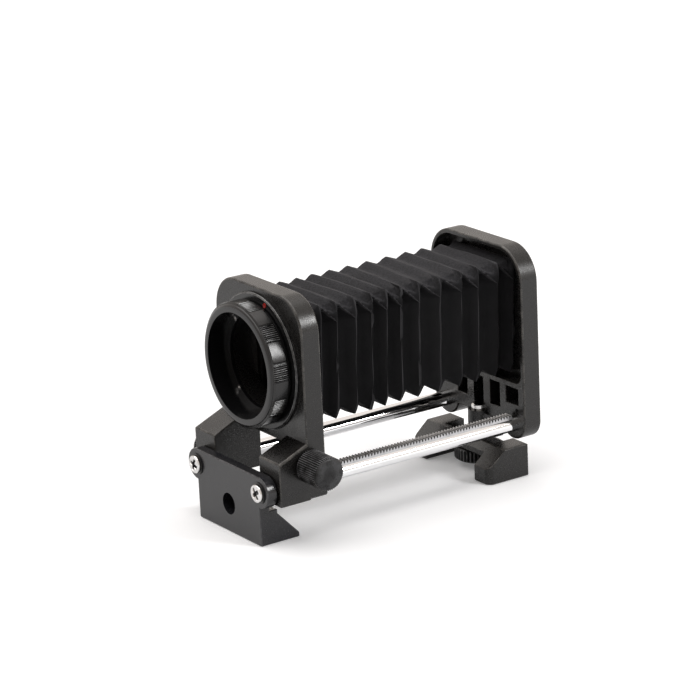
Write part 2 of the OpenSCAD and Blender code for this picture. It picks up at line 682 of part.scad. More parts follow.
module camera_mount_screw() difference() {
    union() {
        bar_x(-cam_head_t, -run_gap, cam_head_r);
        bar_x(-cam_flange_t - 1.3, -cam_head_t / 2, small_r - small_fit);
    }
    translate([-run_gap, 0, 0]) rotate([0, 180, 0]) cross_recess(2, cam_head_t * 0.6);
}

module camera_mount_screws() color([0.5, 0.5, 0.5])
    translate([cam_x, 0, 0]) at_lens_circle(cam_screw_r, 60) camera_mount_screw();

// ---- rear foot ----

module rear_foot() color(metal_dark) difference() {
    intersection() {
        along_y(-rear_foot_w / 2, rear_foot_w / 2) polygon([
            [foot_front_x, 0], [foot_front_x + rear_foot_depth, 0],
            [foot_front_x + rear_foot_depth, rear_foot_h], [foot_front_x + slope_l, rear_foot_h],
            [foot_front_x, rear_foot_front_h]]);
        linear_extrude(rear_foot_h) {
            for (side = [-1, 1])
                translate([foot_front_x + foot_corner_r, side * (rear_foot_w / 2 - foot_corner_r)])
                    circle(foot_corner_r);
            translate([foot_front_x + foot_corner_r, -rear_foot_w / 2])
                square([rear_foot_depth - foot_corner_r, rear_foot_w]);
            translate([foot_front_x, -rear_foot_w / 2 + foot_corner_r])
                square([rear_foot_depth, rear_foot_w - 2 * foot_corner_r]);
        }
    }
    // room for the knob under the bridge
    translate([foot_front_x - cut, -leg_gap / 2, -cut]) {
        cube([rear_foot_depth + 2 * cut, leg_gap, bridge_low + cut]);
        cube([bridge_back + cut, leg_gap, bridge_low + bridge_rim + cut]);
    }
    // recess that takes the clamp post
    translate([post_x - post_r - 0.4, -leg_gap / 2, seat_z]) cube([rear_foot_depth, leg_gap, rear_foot_h]);
    translate([post_x, 0, 0]) cylinder(h = rear_foot_h, r = clamp_screw_d / 2 + run_gap);
}

module clamp_knob() color([0.13, 0.13, 0.13]) translate([post_x, 0, clamp_knob_low]) difference() {
    union() {
        translate([0, 0, 0.5]) linear_extrude(clamp_knob_h - 1) polygon(flutes(clamp_knob_d / 2, 0.7, 40));
        cylinder(h = clamp_knob_h, r = clamp_knob_d / 2 - 1);
    }
    translate([0, 0, clamp_bore]) cylinder(h = clamp_knob_h, r = clamp_screw_d / 2);
}

module clamp_screw() color(chrome) translate([post_x, 0, 0]) {
    translate([0, 0, clamp_knob_low + clamp_bore])
        cylinder(h = post_top + clamp_tip - clamp_knob_low - clamp_bore, r = clamp_screw_d / 2);
    translate([0, 0, post_top + clamp_tip])
        cylinder(h = 0.6, r1 = clamp_screw_d / 2, r2 = clamp_screw_d / 2 - 0.6);
}

module clamp_washer() color([0.1, 0.1, 0.1]) translate([post_x, 0, clamp_knob_top + run_gap]) difference() {
    cylinder(h = bridge_low - clamp_knob_top - run_gap, r = clamp_screw_d / 2 + washer_border);
    translate([0, 0, -cut]) cylinder(h = 3 * cut, r = clamp_screw_d / 2 + run_gap);
}

// ---- drawing ----

front_bracket();
rod_near();
rod_far();
focus_rack();
front_rod_screws();
front_rod_washers();
rear_rod_screws();
lens_standard();
rod_bushes();
lens_flange();
lens_flange_screws();
adapter_ring();
alignment_dot();
pinion_shaft();
pinion_bush();
focus_knob();
focus_knob_screw();
lock_knob();
lock_screw();
lock_shoe();
bellows();
bellows_front_frame();
bellows_rear_frame();
front_frame_screws();
rear_frame_screws();
rear_standard();
rod_set_screws();
camera_mount();
camera_mount_screws();
rear_foot();
clamp_knob();
clamp_screw();
clamp_washer();
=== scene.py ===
# %% [markdown]
# # A macro bellows unit in Blender
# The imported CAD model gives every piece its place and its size. This file dresses it: the
# castings get soft edges, the bellows is folded from cloth, the knobs get real ribs, and
# each surface gets a finish made of nodes. Run the cells from top to bottom.

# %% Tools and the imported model
import math

import bmesh
import bpy
from mathutils import Matrix, Vector, noise


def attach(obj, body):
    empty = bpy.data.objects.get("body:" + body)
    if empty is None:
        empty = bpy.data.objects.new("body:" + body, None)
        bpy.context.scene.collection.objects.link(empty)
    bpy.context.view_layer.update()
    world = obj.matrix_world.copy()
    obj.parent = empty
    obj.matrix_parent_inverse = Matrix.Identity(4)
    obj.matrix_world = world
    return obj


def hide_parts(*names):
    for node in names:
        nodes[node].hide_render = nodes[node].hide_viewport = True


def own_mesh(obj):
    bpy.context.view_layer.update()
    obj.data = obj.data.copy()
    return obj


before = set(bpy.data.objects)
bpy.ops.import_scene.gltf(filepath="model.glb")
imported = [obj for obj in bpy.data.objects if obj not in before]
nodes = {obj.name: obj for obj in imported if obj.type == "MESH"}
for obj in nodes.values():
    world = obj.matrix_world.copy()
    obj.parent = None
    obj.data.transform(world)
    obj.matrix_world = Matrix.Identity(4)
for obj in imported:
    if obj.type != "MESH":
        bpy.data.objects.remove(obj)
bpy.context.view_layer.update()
MM = 0.001

# %% [markdown]
# ## The camera
# A product photographer stands well back with a long lens, so that the rods stay almost
# parallel. The place and tilt were worked out from the edges of the unit in the photograph,
# and are set here as one matrix: right, up and backwards are its three columns.

# %% Camera
EYE = Vector((-0.652595, -1.052069, 0.465531))
AHEAD = Vector((0.53272575, 0.79133188, -0.29999522)).normalized()
ROLL = math.radians(-2.639)
FOCAL_PX = 3099.485
FRAME_PX = 700
SENSOR_MM = 36.0

level_right = AHEAD.cross(Vector((0, 0, 1))).normalized()
level_up = level_right.cross(AHEAD)
cam_right = level_right * math.cos(ROLL) + level_up * math.sin(ROLL)
cam_up = level_up * math.cos(ROLL) - level_right * math.sin(ROLL)
camera_data = bpy.data.cameras.new("studio_camera")
camera_data.sensor_width = SENSOR_MM
camera_data.lens = FOCAL_PX * SENSOR_MM / FRAME_PX
camera_data.clip_start = 0.05
camera = bpy.data.objects.new("studio_camera", camera_data)
camera.matrix_world = Matrix.Translation(EYE) @ Matrix(
    (cam_right, cam_up, -AHEAD)).transposed().to_4x4()
bpy.context.scene.collection.objects.link(camera)
bpy.context.scene.camera = camera
print("lens mm:", round(camera_data.lens, 1))

# %% [markdown]
# ## Node helpers
# Several finishes share an effect, such as fine blasting marks or edges rubbed bright. Such
# an effect is a node group: it is built once, has named inputs and outputs, and each
# material places it with values of its own.

# %% Helpers for node trees
def new_group(name, inputs, outputs):
    """An empty shader group with its sockets, and its entry and exit nodes."""
    group = bpy.data.node_groups.new(name, "ShaderNodeTree")
    for label, kind, value in inputs:
        socket = group.interface.new_socket(label, in_out="INPUT", socket_type="NodeSocket" + kind)
        socket.default_value = value
    for label, kind in outputs:
        group.interface.new_socket(label, in_out="OUTPUT", socket_type="NodeSocket" + kind)
    return group, group.nodes.new("NodeGroupInput"), group.nodes.new("NodeGroupOutput")


def add(tree, kind, links=(), **settings):
    """One node: settings go to its properties or sockets, and links join sockets to it."""
    node = tree.nodes.new("ShaderNode" + kind)
    for key, value in settings.items():
        if hasattr(node, key):
            setattr(node, key, value)
        else:
            node.inputs[key.replace("_", " ")].default_value = value
    for socket, source in links:
        tree.links.new(source, node.inputs[socket])
    return node


def ramp(tree, source, low, high):
    """A mask that climbs from 0 at low to 1 at high."""
    node = add(tree, "MapRange", [("Value", source)])
    node.inputs["From Min"].default_value = low
    node.inputs["From Max"].default_value = high
    return node.outputs["Result"]


def blend_colours(tree, mask, first, second):
    """first where the mask is 0 and second where it is 1: sockets or plain colours."""
    node = tree.nodes.new("ShaderNodeMix")
    node.data_type = "RGBA"
    for name, value in (("A", first), ("B", second)):
        socket = next(s for s in node.inputs if s.name == name and s.type == "RGBA")
        if isinstance(value, bpy.types.NodeSocket):
            tree.links.new(value, socket)
        else:
            socket.default_value = (*value, 1)
    tree.links.new(mask, node.inputs["Factor"])
    return next(s for s in node.outputs if s.type == "RGBA")


# %% [markdown]
# ### Blasted metal
# The castings are bead-blasted before they are dyed black, which leaves tiny dimples that
# glitter where a light rakes over them. Two sizes of noise make the dimples, and the same
# noise moves the roughness a little, so that a highlight breaks up at its rim.

# %% Group: blasted metal
blasted, enter, leave = new_group(
    "blasted_metal",
    [("Grain per m", "Float", 2200.0), ("Dimple", "Float", 0.25),
     ("Smoothest", "Float", 0.3), ("Roughest", "Float", 0.45)],
    [("Grain", "Float"), ("Roughness", "Float"), ("Normal", "Vector")])
place = add(blasted, "TexCoord")
fine = add(blasted, "TexNoise", [("Vector", place.outputs["Object"]),
                                 ("Scale", enter.outputs["Grain per m"])], Detail=2.0)
broad = add(blasted, "TexNoise", [("Vector", place.outputs["Object"])], Scale=90.0, Detail=3.0)
uneven = add(blasted, "Math", [(0, broad.outputs["Fac"]), (1, fine.outputs["Fac"])], operation="ADD")
rough = add(blasted, "MapRange", [("Value", uneven.outputs[0]),
                                  ("To Min", enter.outputs["Smoothest"]),
                                  ("To Max", enter.outputs["Roughest"])])
rough.inputs["From Min"].default_value = 0.75
rough.inputs["From Max"].default_value = 1.25
dimples = add(blasted, "Bump", [("Height", fine.outputs["Fac"]),
                                ("Strength", enter.outputs["Dimple"])], Distance=0.00008)
blasted.links.new(fine.outputs["Fac"], leave.inputs["Grain"])
blasted.links.new(rough.outputs["Result"], leave.inputs["Roughness"])
blasted.links.new(dimples.outputs["Normal"], leave.inputs["Normal"])
print("group:", blasted.name)

# %% [markdown]
# ### Rubbed edges and painted highlights
# A black dyed surface goes grey where hands and bags rub it, first along the edges. The
# lighter edges are also a painted highlight, where a rounded edge would catch the light.
# The softened castings below carry a mask named edge, which is 1 on their rounded edges. The
# group breaks that mask up with noise and mixes the bare colour in, which stands for bare
# metal and a painted highlight at once.

# %% Group: rubbed edges and painted highlights
# The Bare colour is rubbed metal and also a painted highlight on edges and rib tops.
edge_wear_and_sheen, enter, leave = new_group(
    "worn_and_lit_edges",
    [("Dye", "Color", (0.02, 0.02, 0.02, 1)), ("Bare", "Color", (0.2, 0.2, 0.2, 1)),
     ("Amount", "Float", 0.5), ("Cloud", "Float", 0.25), ("Grain", "Float", 0.5)],
    [("Colour", "Color"), ("Wear and sheen", "Float")])
place = add(edge_wear_and_sheen, "TexCoord")
mask = add(edge_wear_and_sheen, "Attribute", attribute_name="edge")
patches = add(edge_wear_and_sheen, "TexNoise", [("Vector", place.outputs["Object"])], Scale=260.0, Detail=4.0)
broken = add(edge_wear_and_sheen, "Math", [(0, mask.outputs["Fac"]),
                              (1, ramp(edge_wear_and_sheen, patches.outputs["Fac"], 0.35, 0.65))],
             operation="MULTIPLY")
amount = add(edge_wear_and_sheen, "Math", [(0, broken.outputs[0]), (1, enter.outputs["Amount"])],
             operation="MULTIPLY")
clouds = add(edge_wear_and_sheen, "TexNoise", [("Vector", place.outputs["Object"])], Scale=35.0, Detail=3.0)
cloud_mask = add(edge_wear_and_sheen, "Math", [(0, ramp(edge_wear_and_sheen, clouds.outputs["Fac"], 0.3, 0.75)),
                                  (1, enter.outputs["Cloud"])], operation="MULTIPLY")
lifted = blend_colours(edge_wear_and_sheen, cloud_mask.outputs[0], enter.outputs["Dye"], enter.outputs["Bare"])
# Edges and rib tops get the bare colour: wear, and a painted highlight.
worn_and_lit = blend_colours(edge_wear_and_sheen, amount.outputs[0], lifted, enter.outputs["Bare"])
in_dimples = add(edge_wear_and_sheen, "VectorMath", [(0, worn_and_lit)], operation="SCALE", Scale=0.5)
on_grains = add(edge_wear_and_sheen, "VectorMath", [(0, worn_and_lit)], operation="SCALE", Scale=1.7)
colour = blend_colours(edge_wear_and_sheen, enter.outputs["Grain"],
                       in_dimples.outputs["Vector"], on_grains.outputs["Vector"])
edge_wear_and_sheen.links.new(colour, leave.inputs["Colour"])
edge_wear_and_sheen.links.new(amount.outputs[0], leave.inputs["Wear and sheen"])
print("group:", edge_wear_and_sheen.name)


# %% [markdown]
# ### Turning marks
# Rods, knobs and mounts come off a lathe or a polishing wheel, which leaves rings round
# their axis. Noise that is stretched along the two directions across the axis gives rings.

# %% Group: turning marks
turned_marks, enter, leave = new_group(
    "turning_marks",
    [("Stretch", "Vector", (1.0, 1.0, 1.0)), ("Marks per m", "Float", 3000.0),
     ("Depth", "Float", 0.2), ("Smoothest", "Float", 0.05), ("Roughest", "Float", 0.12)],
    [("Roughness", "Float"), ("Normal", "Vector"), ("Mark", "Float")])
place = add(turned_marks, "TexCoord")
stretched = add(turned_marks, "VectorMath", [(0, place.outputs["Object"]),
                                             (1, enter.outputs["Stretch"])], operation="MULTIPLY")
marks = add(turned_marks, "TexNoise", [("Vector", stretched.outputs["Vector"]),
                                       ("Scale", enter.outputs["Marks per m"])], Detail=2.0)
rough = add(turned_marks, "MapRange", [("Value", marks.outputs["Fac"]),
                                       ("To Min", enter.outputs["Smoothest"]),
                                       ("To Max", enter.outputs["Roughest"])])
rough.inputs["From Min"].default_value = 0.35
rough.inputs["From Max"].default_value = 0.65
lines = add(turned_marks, "Bump", [("Height", marks.outputs["Fac"]),
                                   ("Strength", enter.outputs["Depth"])], Distance=0.00002)
turned_marks.links.new(rough.outputs["Result"], leave.inputs["Roughness"])
turned_marks.links.new(lines.outputs["Normal"], leave.inputs["Normal"])
turned_marks.links.new(marks.outputs["Fac"], leave.inputs["Mark"])
print("group:", turned_marks.name)

# %% [markdown]
# ## The metal finishes
# Every material below ends in one Principled shader. Its plain numbers are set on the
# shader itself, and only what changes over the surface comes through a group.

# %% Black castings, black steel and knobs
def shader_of(material):
    """Switches a new material to nodes and hands back its tree and its shader."""
    material.use_nodes = True
    tree = material.node_tree
    return tree, tree.nodes["Principled BSDF"]


def place_group(tree, group, **values):
    """Puts a node group into a material with its own values."""
    node = tree.nodes.new("ShaderNodeGroup")
    node.node_tree = group
    for key, value in values.items():
        node.inputs[key.replace("_", " ")].default_value = value
    return node


def dyed_metal(name, dye, bare_and_sheen, amount, grain, dimple, smoothest, roughest, gloss, speckle,
               cloud=0.04):
    """Blasted aluminium or steel, dyed black, scuffed a little along its edges, which also carry a
    painted highlight.
    """
    material = bpy.data.materials.new(name)
    tree, shader = shader_of(material)
    surface = place_group(tree, blasted, Grain_per_m=grain, Dimple=dimple,
                          Smoothest=smoothest, Roughest=roughest)
    wear_and_sheen = place_group(tree, edge_wear_and_sheen, Dye=(*dye, 1), Bare=(*bare_and_sheen, 1), Amount=amount, Cloud=cloud)
    shader.inputs["Specular IOR Level"].default_value = gloss
    grains = add(tree, "MapRange", [("Value", surface.outputs["Grain"])])
    for socket, value in (("From Min", 0.35), ("From Max", 0.65),
                          ("To Min", 0.5 - speckle / 2), ("To Max", 0.5 + speckle / 2)):
        grains.inputs[socket].default_value = value
    tree.links.new(grains.outputs["Result"], wear_and_sheen.inputs["Grain"])
    tree.links.new(wear_and_sheen.outputs["Colour"], shader.inputs["Base Color"])
    tree.links.new(surface.outputs["Roughness"], shader.inputs["Roughness"])
    tree.links.new(surface.outputs["Normal"], shader.inputs["Normal"])
    return material


# The second colour of each finish is bare metal on rubbed edges and a painted highlight on edges and
# rib tops.
casting_black = dyed_metal(
    "casting_black", dye=(0.0095, 0.009, 0.0087), bare_and_sheen=(0.13, 0.122, 0.112), amount=0.6,
    grain=1700.0, dimple=0.34, smoothest=0.22, roughest=0.34, gloss=0.4, speckle=0.5)
bracket_black = dyed_metal(
    "bracket_black", dye=(0.0125, 0.0127, 0.0155), bare_and_sheen=(0.12, 0.12, 0.13), amount=0.6,
    grain=2200.0, dimple=0.14, smoothest=0.18, roughest=0.28, gloss=0.48, speckle=0.3)
ring_black = dyed_metal(
    "ring_black", dye=(0.005, 0.005, 0.0055), bare_and_sheen=(0.2, 0.2, 0.2), amount=0.9,
    grain=1500.0, dimple=0.04, smoothest=0.2, roughest=0.27, gloss=0.42, speckle=0.3, cloud=0.01)
knob_black = dyed_metal(
    "knob_black", dye=(0.002, 0.002, 0.0022), bare_and_sheen=(0.25, 0.25, 0.26), amount=1.0,
    grain=2200.0, dimple=0.12, smoothest=0.26, roughest=0.34, gloss=0.25, speckle=0.2)
black_steel = dyed_metal(
    "black_steel", dye=(0.008, 0.008, 0.008), bare_and_sheen=(0.1, 0.1, 0.1), amount=0.5,
    grain=1800.0, dimple=0.12, smoothest=0.28, roughest=0.36, gloss=0.5, speckle=0.4)
print("black finishes:", len(bpy.data.materials))


# %% [markdown]
# ### Bare and plated metal
# The rods and screws are chromed, the rack and shaft are turned steel, and the bushes are
# oiled bronze. A plain mirror would look like a toy. Fine marks make the surface a little
# uneven, and the screws get painted shade in their cross recess and on the sides of their
# heads from a mask that their mesh carries.

# %% Chrome, steel and bronze
def turned_metal(name, colour, stretch, marks_per_m, depth, smoothest, roughest, painted_recess_shade=False):
    """Bare or plated metal with lathe or polishing marks round one axis."""
    material = bpy.data.materials.new(name)
    tree, shader = shader_of(material)
    surface = place_group(tree, turned_marks, Stretch=stretch, Marks_per_m=marks_per_m,
                          Depth=depth, Smoothest=smoothest, Roughest=roughest)
    dull = tuple(c * 0.8 for c in colour)
    tint = blend_colours(tree, ramp(tree, surface.outputs["Mark"], 0.3, 0.7), dull, colour)
    # The recess mask darkens the cross and the heads' sides: painted shade.
    if painted_recess_shade:
        recess_shade = add(tree, "Attribute", attribute_name="recess")
        tint = blend_colours(tree, ramp(tree, recess_shade.outputs["Fac"], 0.25, 0.8), tint,
                             (0.03, 0.03, 0.03))
    tree.links.new(tint, shader.inputs["Base Color"])
    tree.links.new(surface.outputs["Roughness"], shader.inputs["Roughness"])
    tree.links.new(surface.outputs["Normal"], shader.inputs["Normal"])
    shader.inputs["Metallic"].default_value = 1.0
    return material


ALONG_X = (1.0, 0.08, 0.08)
ALONG_Y = (0.08, 1.0, 0.08)
ALL_WAYS = (1.0, 1.0, 1.0)
BRUSHED_ALONG_X = (0.02, 1.0, 1.0)
rod_chrome = turned_metal(
    "rod_chrome", (0.9, 0.9, 0.91), BRUSHED_ALONG_X, marks_per_m=900.0, depth=0.06,
    smoothest=0.04, roughest=0.09)
screw_chrome = turned_metal(
    "screw_chrome", (0.7, 0.69, 0.68), ALL_WAYS, marks_per_m=1400.0, depth=0.15,
    smoothest=0.1, roughest=0.2, painted_recess_shade=True)
mount_chrome = turned_metal(
    "mount_chrome", (0.5, 0.5, 0.51), ALONG_X, marks_per_m=3000.0, depth=0.03,
    smoothest=0.22, roughest=0.32)
turned_steel = turned_metal(
    "turned_steel", (0.5, 0.5, 0.51), ALONG_Y, marks_per_m=5000.0, depth=0.3,
    smoothest=0.2, roughest=0.35)
oiled_bronze = turned_metal(
    "oiled_bronze", (0.62, 0.42, 0.2), ALONG_X, marks_per_m=4000.0, depth=0.3,
    smoothest=0.22, roughest=0.4)
print("with the bare metals:", len(bpy.data.materials))

# %% [markdown]
# ### Red enamel
# The dot is a drop of enamel in a shallow hole. One flat red would do for so small a piece,
# but slow noise between two reds and a clear coat give it the depth of a real drop.

# %% Red enamel of the alignment dot
red_enamel = bpy.data.materials.new("red_enamel")
tree, shader = shader_of(red_enamel)
pool = add(tree, "TexNoise", Scale=900.0, Detail=2.0)
tree.links.new(blend_colours(tree, ramp(tree, pool.outputs["Fac"], 0.3, 0.7),
                             (0.45, 0.012, 0.01), (0.62, 0.03, 0.02)), shader.inputs["Base Color"])
shader.inputs["Roughness"].default_value = 0.2
shader.inputs["Coat Weight"].default_value = 0.5
print("materials:", len(bpy.data.materials))


# %% [markdown]
# ## Mesh helpers
# The CAD castings have knife-sharp edges, which no casting has: real edges are rounded by
# half a millimetre or more, and that rounding is what catches the light. A copy of the
# node's mesh is welded, its flat faces are joined, and only the chosen edges are bevelled.

# %% Helper: a piece from a mesh
def new_piece(name, mesh, material, body, slot, *stands_for):
    """Links a mesh as a piece of the object, parents it to the body it rides on, and hides the CAD
    nodes it stands for.
    """
    piece = bpy.data.objects.new(name, mesh)
    bpy.context.scene.collection.objects.link(piece)
    mesh.materials.clear()
    mesh.materials.append(material)
    for face in mesh.polygons:
        face.material_index = 0
        face.use_smooth = True
    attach(piece, body)
    if stands_for:
        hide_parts(*stands_for)
    return piece


def steady_normals(piece):
    """Lets the large flat faces decide the shading, so that they look flat."""
    weighted = piece.modifiers.new("flat faces stay flat", "WEIGHTED_NORMAL")
    weighted.keep_sharp = True
    weighted.use_face_influence = True


def keep_corners_crisp(piece, angle=32):
    """Smooth shading that breaks at sharp edges."""
    piece.data.set_sharp_from_angle(angle=math.radians(angle))
    steady_normals(piece)


# %% [markdown]
# ### Faces and weights
# A flat face that wraps round a hole comes out of a bevel with wrong triangles. So the
# faces are first cut along a few planes, and then the edges are told how round to be.

# %% Helpers: cut faces and weigh edges
SHARP = math.radians(30)


def split_faces(bm, cuts):
    """Cuts the mesh at each (axis, place in mm), and marks the cuts so that they stay."""
    for axis, place_mm in cuts:
        normal = Vector([float(k == "XYZ".index(axis)) for k in range(3)])
        cut = bmesh.ops.bisect_plane(bm, geom=bm.verts[:] + bm.edges[:] + bm.faces[:], dist=1e-7,
                                     plane_co=normal * place_mm * MM, plane_no=normal)
        for part in cut["geom_cut"]:
            if isinstance(part, bmesh.types.BMEdge):
                part.seam = True


def weigh_edges(bm, rounds):
    """Gives each outer edge its share of the widest radius, and hands back that radius."""
    weight = bm.edges.layers.float.new("bevel_weight_edge")
    widest = max(radius for radius, _ in rounds)
    for e in bm.edges:
        if len(e.link_faces) == 2 and e.is_convex and e.calc_face_angle() > SHARP:
            mid = (e.verts[0].co + e.verts[1].co) / 2 / MM
            e[weight] = next((radius / widest for radius, test in rounds if test(mid)), 0.0)
    return widest


# %% [markdown]
# ### Masks and sharp edges
# The bevel gives its new faces a second material number. That number says where the rubbed
# edges with their painted highlight are, so it is copied into a mask and taken away again.
# Edges between plain faces stay sharp from a small angle on, and the round ones only from a
# large angle.

# %% Helper: mask the rounded faces
def mask_rounded_faces(mesh):
    """Writes the mask named edge on the bevelled faces, and marks the sharp edges."""
    bm = bmesh.new()
    bm.from_mesh(mesh)
    mask = bm.faces.layers.float.new("edge")
    # This mask lightens the rounded faces: wear, and a painted highlight.
    for face in bm.faces:
        face[mask] = float(face.material_index)
    for e in bm.edges:
        plain = all(face.material_index == 0 for face in e.link_faces)
        limit = math.radians(20 if plain else 45)
        e.smooth = len(e.link_faces) == 2 and e.calc_face_angle() < limit
    for face in bm.faces:
        face.material_index = 0
        face.smooth = True
    bm.to_mesh(mesh)
    bm.free()


# %% [markdown]
# ### Rounded castings
# The edges could be rounded by hand, one by one, or by a subdivision surface, which would
# also melt the bores. A bevel that follows a weight on each edge rounds only what a test
# picks. The test looks at the middle of the edge, so it can be written in plain sizes.

# %% Helper: soften a casting
def soften(node, name, material, body, slot, rounds, cuts=(("Y", 0.0),)):
    """A copy of a CAD node with rounded edges.

    rounds is a list of (radius in mm, test), and the first test that an edge's midpoint
    in mm passes gives its radius. The rounded faces carry the mask named edge. Each cut
    is an axis and a place in mm where a flat face is split, so that no face wraps a hole.
    """
    mesh = nodes[node].data.copy()
    mesh.name = name
    bm = bmesh.new()
    bm.from_mesh(mesh)
    bmesh.ops.remove_doubles(bm, verts=bm.verts, dist=1e-6)
    split_faces(bm, cuts)
    bmesh.ops.dissolve_limit(bm, angle_limit=math.radians(0.4), verts=bm.verts, edges=bm.edges,
                             delimit={"SEAM"})
    widest = weigh_edges(bm, rounds)
    bm.to_mesh(mesh)
    bm.free()
    piece = new_piece(name, mesh, material, body, slot, node)
    mesh.materials.append(material)
    rounding = piece.modifiers.new("rounded edges", "BEVEL")
    rounding.limit_method = "WEIGHT"
    rounding.width = widest * MM
    rounding.segments = 3
    rounding.material = 1
    rounding.use_clamp_overlap = False
    rounding.face_strength_mode = "FSTR_ALL"
    cutting = piece.modifiers.new("triangles", "TRIANGULATE")
    cutting.min_vertices = 5
    bpy.context.view_layer.objects.active = piece
    bpy.ops.object.modifier_apply(modifier=rounding.name)
    bpy.ops.object.modifier_apply(modifier=cutting.name)
    mask_rounded_faces(mesh)
    mesh.materials.pop(index=1)
    steady_normals(piece)
    print(name, "faces:", len(mesh.polygons))
    return piece


def away(point, *circles):
    """True where a point (a, b) lies outside every circle (a, b, radius)."""
    return all(math.hypot(point[0] - a, point[1] - b) > r for a, b, r in circles)


# %% [markdown]
# ### Turned shapes
# A ring or a knob is an outline turned round an axis. The Screw modifier would do that too,
# but only with a plain outline. Here each point may be moved in or out by its angle, so the
# ribs are real shape and not a bump that vanishes at the rim.

# %% Helper: a turned shape
def bridge(bm, first, second, steps):
    """The faces between two rings of vertices, one of which may be a single tip."""
    for k in range(steps):
        after = (k + 1) % steps
        if len(first) == 1:
            bm.faces.new((first[0], second[after], second[k]))
        elif len(second) == 1:
            bm.faces.new((first[k], first[after], second[0]))
        else:
            bm.faces.new((first[k], first[after], second[after], second[k]))


def turned(name, profile, centre, axis, steps, shape=None, closed=True):
    """A mesh turned round an axis. profile is a list of (radius, distance) in mm, and
    shape(angle, radius) may give back another radius, for ribs, with the edge mask there. That
    mask gives the rib tops a painted highlight and flat faces a painted sheen, with some rubbing."""
    side_a, side_b = {"X": ((0, 1, 0), (0, 0, 1)), "Y": ((0, 0, 1), (1, 0, 0)),
                      "Z": ((1, 0, 0), (0, 1, 0))}[axis]
    side_a, side_b = Vector(side_a), Vector(side_b)
    along = side_a.cross(side_b)
    bm = bmesh.new()
    mask = bm.verts.layers.float.new("edge")
    rings = []
    for radius, distance in profile:
        if radius <= 0:
            rings.append([bm.verts.new((Vector(centre) + along * distance) * MM)])
            continue
        ring = []
        for k in range(steps):
            angle = 2 * math.pi * k / steps
            r, lighter_share = shape(angle, radius) if shape else (radius, 0.0)
            spot = Vector(centre) + along * distance
            spot += side_a * (r * math.cos(angle)) + side_b * (r * math.sin(angle))
            ring.append(bm.verts.new(spot * MM))
            ring[-1][mask] = lighter_share
        rings.append(ring)
    pairs = list(zip(rings, rings[1:]))
    if closed:
        pairs.append((rings[-1], rings[0]))
    for first, second in pairs:
        bridge(bm, first, second, steps)
    bmesh.ops.recalc_face_normals(bm, faces=bm.faces)
    mesh = bpy.data.meshes.new(name)
    bm.to_mesh(mesh)
    bm.free()
    return mesh


# %% [markdown]
# ## The castings
# The front bracket, the two standards and the rear foot are the main black pieces. Each
# keeps the CAD shape and gets its edges rounded, but not at the bores, where a machinist
# leaves only a tiny chamfer.

# %% Front bracket
ROD_Y, ROD_Z = 24.25, 24.0
ROD_CUTS = (("Y", 0.0), ("Y", -ROD_Y), ("Y", ROD_Y))


TRIPOD_HOLE_Z, TRIPOD_HOLE_CLEAR = 12.6, 5.4
BODY_TOP, EAR_FRONT = 14.9, -4


def bracket_outside(mid):
    """True away from the bores of the rods and of the tripod hole."""
    return (away((abs(mid.y), mid.z), (ROD_Y, ROD_Z, 3.0))
            and away((mid.y, mid.z), (0, TRIPOD_HOLE_Z, TRIPOD_HOLE_CLEAR)))


soften("front_bracket", "bracket_casting", bracket_black, "frame", "black_metal",
       [(0.45, lambda m: bracket_outside(m) and m.z > BODY_TOP and m.x < EAR_FRONT),
        (0.35, bracket_outside)], ROD_CUTS)


# %% [markdown]
# ### The lens standard
# The lens standard is one casting: a plate that carries the lens, with two legs that slide
# on the rods. A bevel with one width would be simpler, but the rim in the photograph is
# rounder than the legs. The edges round the bores stay crisp, as they are cut afterwards.

# %% Lens standard
PLATE_FRONT, PLATE_BACK = 9.7, 18.9
PLATE_HALF, PLATE_TOP = 32.9, 104.3
CORNER_R = 15.3
LENS_Z = 72.0
PINION_X, PINION_Z = 10.4, 33.8
LOCK_X, LOCK_Z = 7.25, 24.0


def on_outline(mid, half_width, top):
    """True on the outer outline of a plate with round upper corners."""
    side, up = abs(mid.y), mid.z
    in_corner = (side > half_width - CORNER_R and up > top - CORNER_R
                 and math.hypot(side - half_width + CORNER_R, up - top + CORNER_R) > CORNER_R - 0.5)
    return side > half_width - 0.3 or up > top - 0.3 or in_corner


def plate_rim(mid):
    on_face = min(abs(mid.x - PLATE_FRONT), abs(mid.x - PLATE_BACK)) < 0.2
    return on_face and mid.z > 44 and on_outline(mid, PLATE_HALF, PLATE_TOP)


def leg_outside(mid):
    return (abs(mid.y) > 16 and mid.z < 46 and (mid.x < PLATE_BACK - 0.5 or mid.z > 26)
            and away((abs(mid.y), mid.z), (ROD_Y, ROD_Z, 6.0))
            and away((mid.x, mid.z), (PINION_X, PINION_Z, 5.0), (LOCK_X, LOCK_Z, 3.0)))


soften("lens_standard", "lens_plate", casting_black, "carriage", "black_metal",
       [(0.9, plate_rim), (0.7, lambda m: leg_outside(m) and m.z > 36 and m.x < 9.5),
        (0.5, leg_outside)], ROD_CUTS + (("Z", ROD_Z), ("Z", LENS_Z)))

# %% [markdown]
# ### The rear standard
# The rear standard closes the other end and holds the camera mount. It has a deep pocket,
# and the mouth of the pocket is rounded less than the outer rim. One list of two radii
# does both at once, which is quicker than two bevels one after the other.

# %% Rear standard
REAR_FRONT, REAR_BACK = 123.4, 132.6
REAR_HALF, REAR_TOP = 33.0, 104.0
ROD_SEAT_CLEAR = 4.2


def rear_outline(mid):
    on_face = min(abs(mid.x - REAR_FRONT), abs(mid.x - REAR_BACK)) < 0.2
    off_rods = away((abs(mid.y), mid.z), (ROD_Y, ROD_Z, ROD_SEAT_CLEAR))
    underside = mid.z < 23.6 and abs(mid.y) > 6 and off_rods
    return on_face and (underside or on_outline(mid, REAR_HALF, REAR_TOP))


